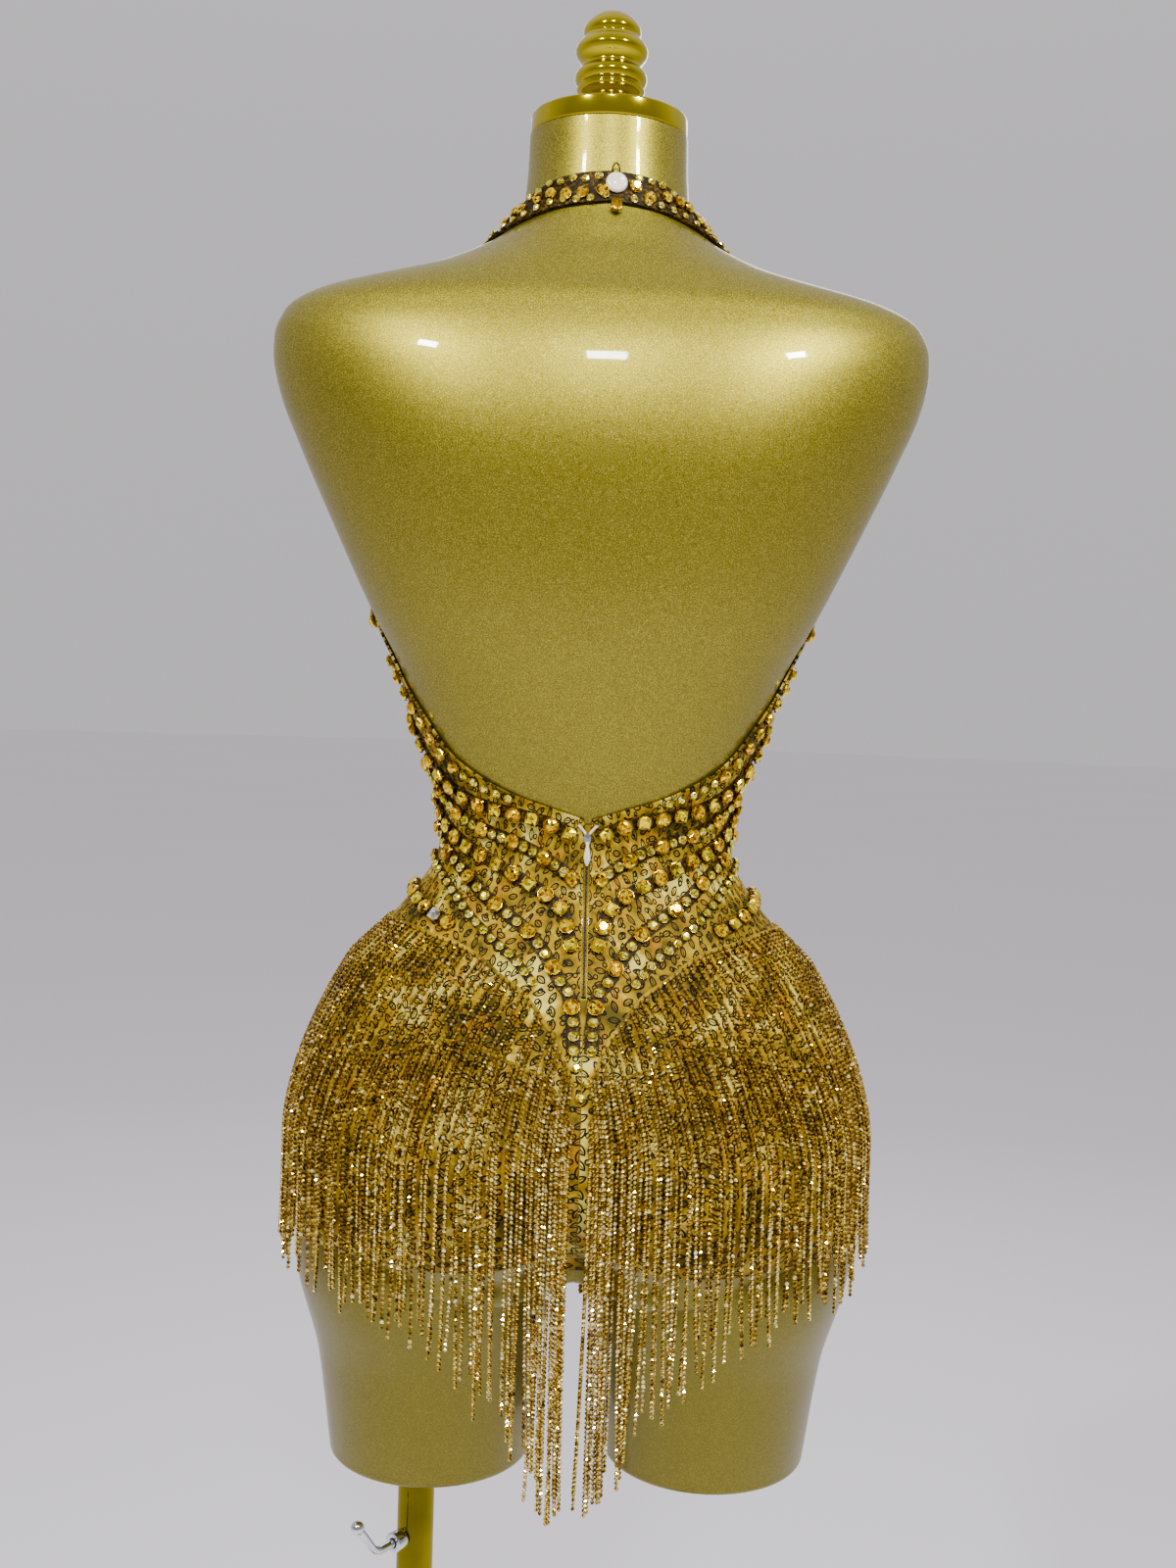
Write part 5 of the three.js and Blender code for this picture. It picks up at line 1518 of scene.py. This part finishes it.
print("zip:", ZIP_LINE["high"] - ZIP_LINE["low"], "mm long")

# %% [markdown]
# ## Slider and pull
# The slider, its pull and the two curled arms above it are moulded pieces. Each is a flat
# outline repeated at a few levels, or a wire along a curve.

# %% Slider, pull and wings
def slider_rings():
    """The slider's outline narrows to its nose and crowns outwards: rings of one outline."""
    angle = np.linspace(0, 2 * math.pi, 40, endpoint=False)
    x = SLIDER["half"] * np.sign(np.cos(angle)) * np.abs(np.cos(angle)) ** 0.55
    z = SLIDER["tall"] / 2 * np.sign(np.sin(angle)) * np.abs(np.sin(angle)) ** 0.6
    x = x * (0.89 + 0.22 * z / SLIDER["tall"])
    return np.array([np.column_stack([x * scale, np.full(40, SLIDER["near"] - SLIDER["thick"] * share),
                                      SLIDER["height"] + z * scale]) for scale, share in SLIDER_LEVELS])


def pull_rings():
    """A slender leaf: it grows from the eye, is fullest past the middle and closes in a point."""
    down, (at, halves) = np.linspace(0, 1, 28), np.array(PULL_EDGE).T
    x, z = both_edges(np.interp(down, at, halves), PULL["top"] - PULL["long"] * down).T
    z = z - PULL["middle"]
    return np.array([np.column_stack([x * s, np.full(56, y), z * (0.4 + 0.6 * s) + PULL["middle"]])
                     for s, y in PULL_LEVELS])


def wing_path(side):
    """A curled arm from the slider's top, up and out."""
    reach = np.linspace(0, 1, 16)
    z = WING["foot"] + WING["rise"] * reach ** 1.3
    x = side * (WING["near"] + WING["far"] * reach ** 1.6)
    turn = np.degrees(np.arcsin(x / curve(SECTIONS, z)[:, 0]))
    return on_form(turn, z, WING["seat"] - reach * 0.2)


tape = strip_wall(np.linspace(ZIP_LINE["low"], ZIP_LINE["high"], 48), TAPE_ACROSS,
                  (ZIP_LINE["face"], ZIP_LINE["under"]))
coil = strip_wall(np.linspace(ZIP_LINE["low"], SLIDER["height"] - 3, 40), COIL["across"], COIL["lifts"])
make_piece("zip_tape_strip", *shell(*tape), NET, slot="gem_band", replaces="zip_tape")
make_teeth()
make_piece("zip_groove", *shell(*coil), RUBBER, slot="gem_band")
make_piece("slider_body", *skin(slider_rings()), CHROME, slot="chrome", replaces="zip_slider")
make_piece("leaf_pull", *skin(pull_rings()), ENAMEL, body="zip_pull", slot="cream", replaces="zip_pull_tab")
for side_name, side in SIDES:
    make_piece(f"slider_wing_{side_name}", *skin(swept(wing_path(side), WING["radius"], WIRE_BESIDE, 8)),
               ENAMEL, slot="cream", sharp=60)
print("zip made")

# %% [markdown]
# ## Chain fringe
# Each chain is a row of small faceted links, glassy with one gold end. It leaves its strip,
# lies over the hip down to the fullest line of the seat, and hangs straight from there. All
# the chains of a row are worked out together; each is then walked at the links' pitch by its
# own length. The links carry painted highlight and shade: the upward glassy end bright, the
# downward gold end darkened, the waist bright and dark by turns, and a few links blazing.

# %% Fringe
FRINGE = {
    "upper": {"count": 41, "phase": 0.5, "crowd": 1.0, "spread": 0.11, "drape": 4.9, "longer": 0,
              "rows": [[1.3, 994], [4.2, 1012], [8.5, 1026], [12, 1035], [20, 1046], [27, 1054],
                       [34, 1059], [45, 1062.5], [60, 1066], [89.6, 1066]]},
    "lower": {"count": 42, "phase": 0.2, "crowd": 1.4, "spread": 0.05, "drape": 2.2, "longer": 9,
              "rows": [[1.4, 976], [5, 993], [12, 1003], [20, 1010], [28, 1013], [40, 1005],
                       [60, 1000], [89.6, 998]]},
}
FRINGE_ENDS = [[0, 757], [4, 768], [9, 800], [14, 828], [20, 848], [27, 860], [40, 870], [60, 880], [90, 885],
               [125, 876], [150, 862], [166, 838], [174, 812], [180, 795]]
HANG = 952          # the seat's fullest line
LINK_PITCH = 2.5


def hang_turn(turns, roots, spread):
    """Chains fan outwards over the seat, least at the centre and at the side: the turn at which
    each one reaches the fullest line grows with its drop to there."""
    back = np.where(turns > 90, 180 - turns, turns)
    share = spread * (1 - np.exp(-(back + 1.5) / 7)) * (1 - (back / 90) ** 2)
    return turns + np.where(turns > 90, -1, 1) * share * (roots - HANG)


print("chains:", sum(plan["count"] for plan in FRINGE.values()) * 4)

# %% [markdown]
# ## How a chain hangs
# Over the seat a chain lies on the cloth and fans out, and below the fullest line nothing
# holds it, so it falls plumb. Small random amounts keep the row from looking ruled.

# %% Paths of the chains
def chain_paths(turns, roots, ends, drape, spread):
    """[chain, point, xyz] and the way out at each point: over the form down to the fullest line,
    then plumb down. The free end strays sideways as the square of how far it hangs."""
    count = len(turns)
    part = np.linspace(0, 1, 34)[None]
    height = roots[:, None] + (HANG - roots[:, None]) * part
    fallen = np.clip((roots[:, None] - height) / 22, 0, 1)
    wander = rng.normal(0, 0.35, (count, 1)) * np.sin(part * 3.1 + rng.random((count, 1)) * 6)
    fan = (hang_turn(turns, roots, spread) - turns)[:, None] * np.sin(part * math.pi / 2)
    turn = turns[:, None] + fan + wander
    ragged = rng.normal(0, 0.3, (count, 1)) * fallen
    lift = cloth_top(turn, height) + 1.0 + (drape - 1.0) * fallen ** 1.5 + ragged
    over, out = on_form(turn, height, lift), form_normal(turn, height)
    down = np.linspace(0, 1, 26)[None, 1:, None]
    last, last_out = over[:, -1:], out[:, -1:] * np.array([1, 1, 0])
    last_out = last_out / np.linalg.norm(last_out, axis=-1, keepdims=True)
    side = np.cross([0, 0, 1.0], last_out)
    drop = (HANG - ends)[:, None, None]
    sideways = np.clip(rng.normal(0, 2.2, (count, 1, 1)), -3.2, 3.2)
    stray = side * sideways + last_out * np.abs(rng.normal(0, 1.0, (count, 1, 1)))
    free = last - drop * down * np.array([0, 0, 1.0]) + stray * down ** 2
    return np.concatenate([over, free], 1), np.concatenate([out, np.repeat(last_out, 25, 1)], 1)


print("a link every", LINK_PITCH, "mm")

# %% [markdown]
# ## Links along the chains
# Every path is measured and walked at one pitch. The links twist slowly along it, more
# towards the free end, which is what breaks the light up.

# %% Links along the chains
def links_on(paths, outs):
    """Centres, ways along and ways out of every link: each path is measured and walked evenly."""
    centres, along, out = [], [], []
    for path, way in zip(paths, outs):
        length = distance_along(path)
        at = np.arange(1.0, length[-1], LINK_PITCH)
        here, ahead, up = (np.stack([np.interp(at, length, column) for column in table.T], -1)
                           for table in (path, np.gradient(path, axis=0), way))
        twist = np.sin(at / rng.uniform(25, 60) + rng.uniform(0, 6))
        twist = (twist * np.interp(at, [0, 60, length[-1]], [0.1, 0.35, 0.9]))[:, None]
        side = np.cross(ahead, up)
        side /= np.linalg.norm(side, axis=1, keepdims=True)
        centres.append(here)
        along.append(ahead)
        out.append(up * np.cos(twist) + side * np.sin(twist))
    along = np.concatenate(along)
    return np.concatenate(centres), along / np.linalg.norm(along, axis=1, keepdims=True), np.concatenate(out)


# Painted light and shade of a link's facets: its upward end bright, its downward end dark, its waist bright
# and dark by turns.
FACET_PAINTED_LIGHT_AND_SHADE = {"waist": [0.72, 0.3, 0.72, 0.3], "upper": [0.92, 0.55, 0.92, 0.55],
          "lower": [0.3, 0.04, 0.3, 0.04]}


def painted_light_of_links(count):
    """Each facet's painted highlight or shade, plus what its link has: most are near it, and a few blaze as
    painted sparkles.
    """
    own = rng.normal(0, 0.13, count)[:, None] + np.where(rng.random(count) < 0.025, 0.6, 0)[:, None]
    waist = np.array(FACET_PAINTED_LIGHT_AND_SHADE["waist"]) + own
    tips = np.array(FACET_PAINTED_LIGHT_AND_SHADE["upper"] + FACET_PAINTED_LIGHT_AND_SHADE["lower"]) + own
    return np.clip(np.concatenate([waist.ravel(), tips.ravel()]), 0, 1)


def make_fringe(row, facing, side_name, side):
    """One quarter of a row: its chains, and the strip that they hang from."""
    plan = FRINGE[row]
    path = track(plan["rows"], mirrored=False)
    share = (np.arange(plan["count"]) + plan["phase"]) / plan["count"]
    distances = share ** plan["crowd"] * path[0][-1]
    turns = np.interp(distances, path[0], path[1])
    roots = curve(plan["rows"], turns)[:, 0]
    turns = 180 - turns if facing == "front" else turns
    ends = curve(FRINGE_ENDS, hang_turn(turns, roots, plan["spread"]))[:, 0]
    ends = ends + rng.normal(0, 5, len(turns)) + plan["longer"]
    centres, along, out = links_on(*chain_paths(turns, roots, ends, plan["drape"], plan["spread"]))
    axes = frames(along, out, tilt=0.14)
    points, quads, _, tris, _ = copies(LINK, centres, axes)
    # The downward tips take the chain gold, darkened as painted shade; the rest take the crystal.
    slots = np.concatenate([np.ones(len(quads), int), np.tile([1, 1, 1, 1, 0, 0, 0, 0], len(centres))])
    mirror = np.array([side, 1, 1])
    make_piece(f"{row}_chains_{facing}_{side_name}", points * mirror, [quads, tris], [CHAIN_GOLD_AND_PAINTED_SHADE, CRYSTAL],
               slot="chain", replaces=f"fringe_{row}_{facing}_{side_name}", sharp=None, slots=slots,
               glint=painted_light_of_links(len(centres)))
    strip_path = path if facing == "back" else (path[0], 180 - path[1], path[2])
    rings = ribbon_rings(strip_path, 2.2, 0.2, 0.6)
    make_piece(f"{row}_strip_{facing}_{side_name}", *skin(rings * mirror), NET, slot="printed_mesh")
    return len(centres)


links = sum(make_fringe(row, facing, side_name, side)
            for row in FRINGE for facing in ("back", "front") for side_name, side in SIDES)
print("fringe:", links, "links")

# %% [markdown]
# ## The cut list
# Now that all the trims exist, each panel's list of the ribbons, stones, strips and chains
# that are sewn on it is gathered and counted.

# %% Cut list
FRINGE_TRIMS = ("upper_strip", "upper_chains", "lower_strip", "lower_chains")
BAND_TRIMS = {"back": ("top", "second", "third", "fourth", "hip", "fifth"),
              "front": ("breast", "neckline", "armhole")}
SIDE_TRIMS = {"back": ["back_edge_stones"], "front": []}
MIDDLE_TRIMS = {"back": ["seam_allowance_back", "zip_tape_strip", "tip_stones", "hip_band_clear_stone"],
                "front": ["seam_allowance_front"]}


def trims_on(facing, side_name):
    """The names of all that is sewn on a panel; what lies on the centre goes with the left."""
    names = [f"{band}_band_{kind}" for band in BAND_TRIMS[facing] for kind in ("ribbon", "stones")]
    names += SIDE_TRIMS[facing] + [f"{trim}_{facing}" for trim in FRINGE_TRIMS]
    return [f"{trim}_{side_name}" for trim in names] + (MIDDLE_TRIMS[facing] if side_name == "left" else [])


for name, cut in cut_list.items():
    facing, side_name = name.split("_")[0], name.split("_")[-1]
    names = trims_on(facing, side_name)
    print(f"{name}: {len(names)} pieces sewn on")

# %% [markdown]
# ## Floor and light
# A plain pale floor runs to a horizon of the same tone. Three small ceiling lamps over the
# viewer's shoulders make the bright spots on the paint, and one wide soft panel beyond the
# part lights its front.

# %% Studio
LIT = Vector((0, 0, 1.15))
LAMPS = {  # place, size, power
    "ceiling_left": ((-1.1, -1.5, 2.7), (0.16, 0.12), 40),
    "ceiling_right": ((1.2, -1.3, 2.6), (0.16, 0.12), 48),
    "ceiling_near": ((0.05, -1.7, 2.75), (0.2, 0.12), 26),
    "front_fill": ((0.4, 2.6, 2.3), (1.6, 1.0), 18)}


def make_floor():
    finish = Finish("pale_floor", specular_ior_level=0.2)
    cloud = finish.noise(0.7, 3)
    finish.feed("base_color", finish.blend(cloud, shade(243, 240, 243), shade(238, 235, 239)))
    finish.feed("roughness", 0.75 + cloud * 0.1)
    bpy.ops.mesh.primitive_circle_add(vertices=96, radius=30, fill_type="NGON", location=(0, 0, 0))
    floor = bpy.context.object
    floor.name = "floor"
    floor.data.materials.append(finish.material)
    floor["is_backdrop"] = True


def make_lamp(name, place, size, power):
    """A rectangular lamp that faces the bodysuit."""
    data = bpy.data.lights.new(name, "AREA")
    data.shape, data.size, data.size_y = "RECTANGLE", *size
    data.energy = power
    lamp = bpy.data.objects.new(name, data)
    lamp.location = place
    lamp.rotation_euler = (LIT - Vector(place)).to_track_quat("-Z", "Y").to_euler()
    bpy.context.scene.collection.objects.link(lamp)


print("lamps:", list(LAMPS))

# %% [markdown]
# ## The room
# Metal and pearl paint show what is round them, so the world is shaded too: pale ahead and
# overhead, and dimmer behind the viewer.

# %% The room
class Surround(Finish):
    """A world is shaded with the same sums as a material."""

    def __init__(self, name):
        self.material = bpy.data.worlds.new(name)
        self.material.use_nodes = True
        self.nodes = self.material.node_tree.nodes
        self.shader = self.nodes["Background"]


def make_world():
    """Pale beyond the part and overhead, and dimmer at the viewer's end of the room, which gives
    the pearl paint and the plating something darker to mirror."""
    world = Surround("studio")
    depth, height = world.axes(world.place("Generated"))[1:]
    overhead = height.high(0.0)
    ahead = world.ramp(depth * 0.5 + 0.5, (0.30, grey(0.46)), (0.62, grey(0.9)))
    world.feed("color", shade(216, 212, 216))
    world.feed("strength", ahead + overhead * overhead * 0.5)
    bpy.context.scene.world = world.material


make_floor()
make_world()
for name, lamp in LAMPS.items():
    make_lamp(name, *lamp)
print("studio made")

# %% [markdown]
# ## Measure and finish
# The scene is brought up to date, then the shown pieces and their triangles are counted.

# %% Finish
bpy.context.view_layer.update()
shown = list(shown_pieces())
print("pieces:", len(shown), "triangles:",
      sum(len(face.vertices) - 2 for piece in shown if piece.type == "MESH" for face in piece.data.polygons))
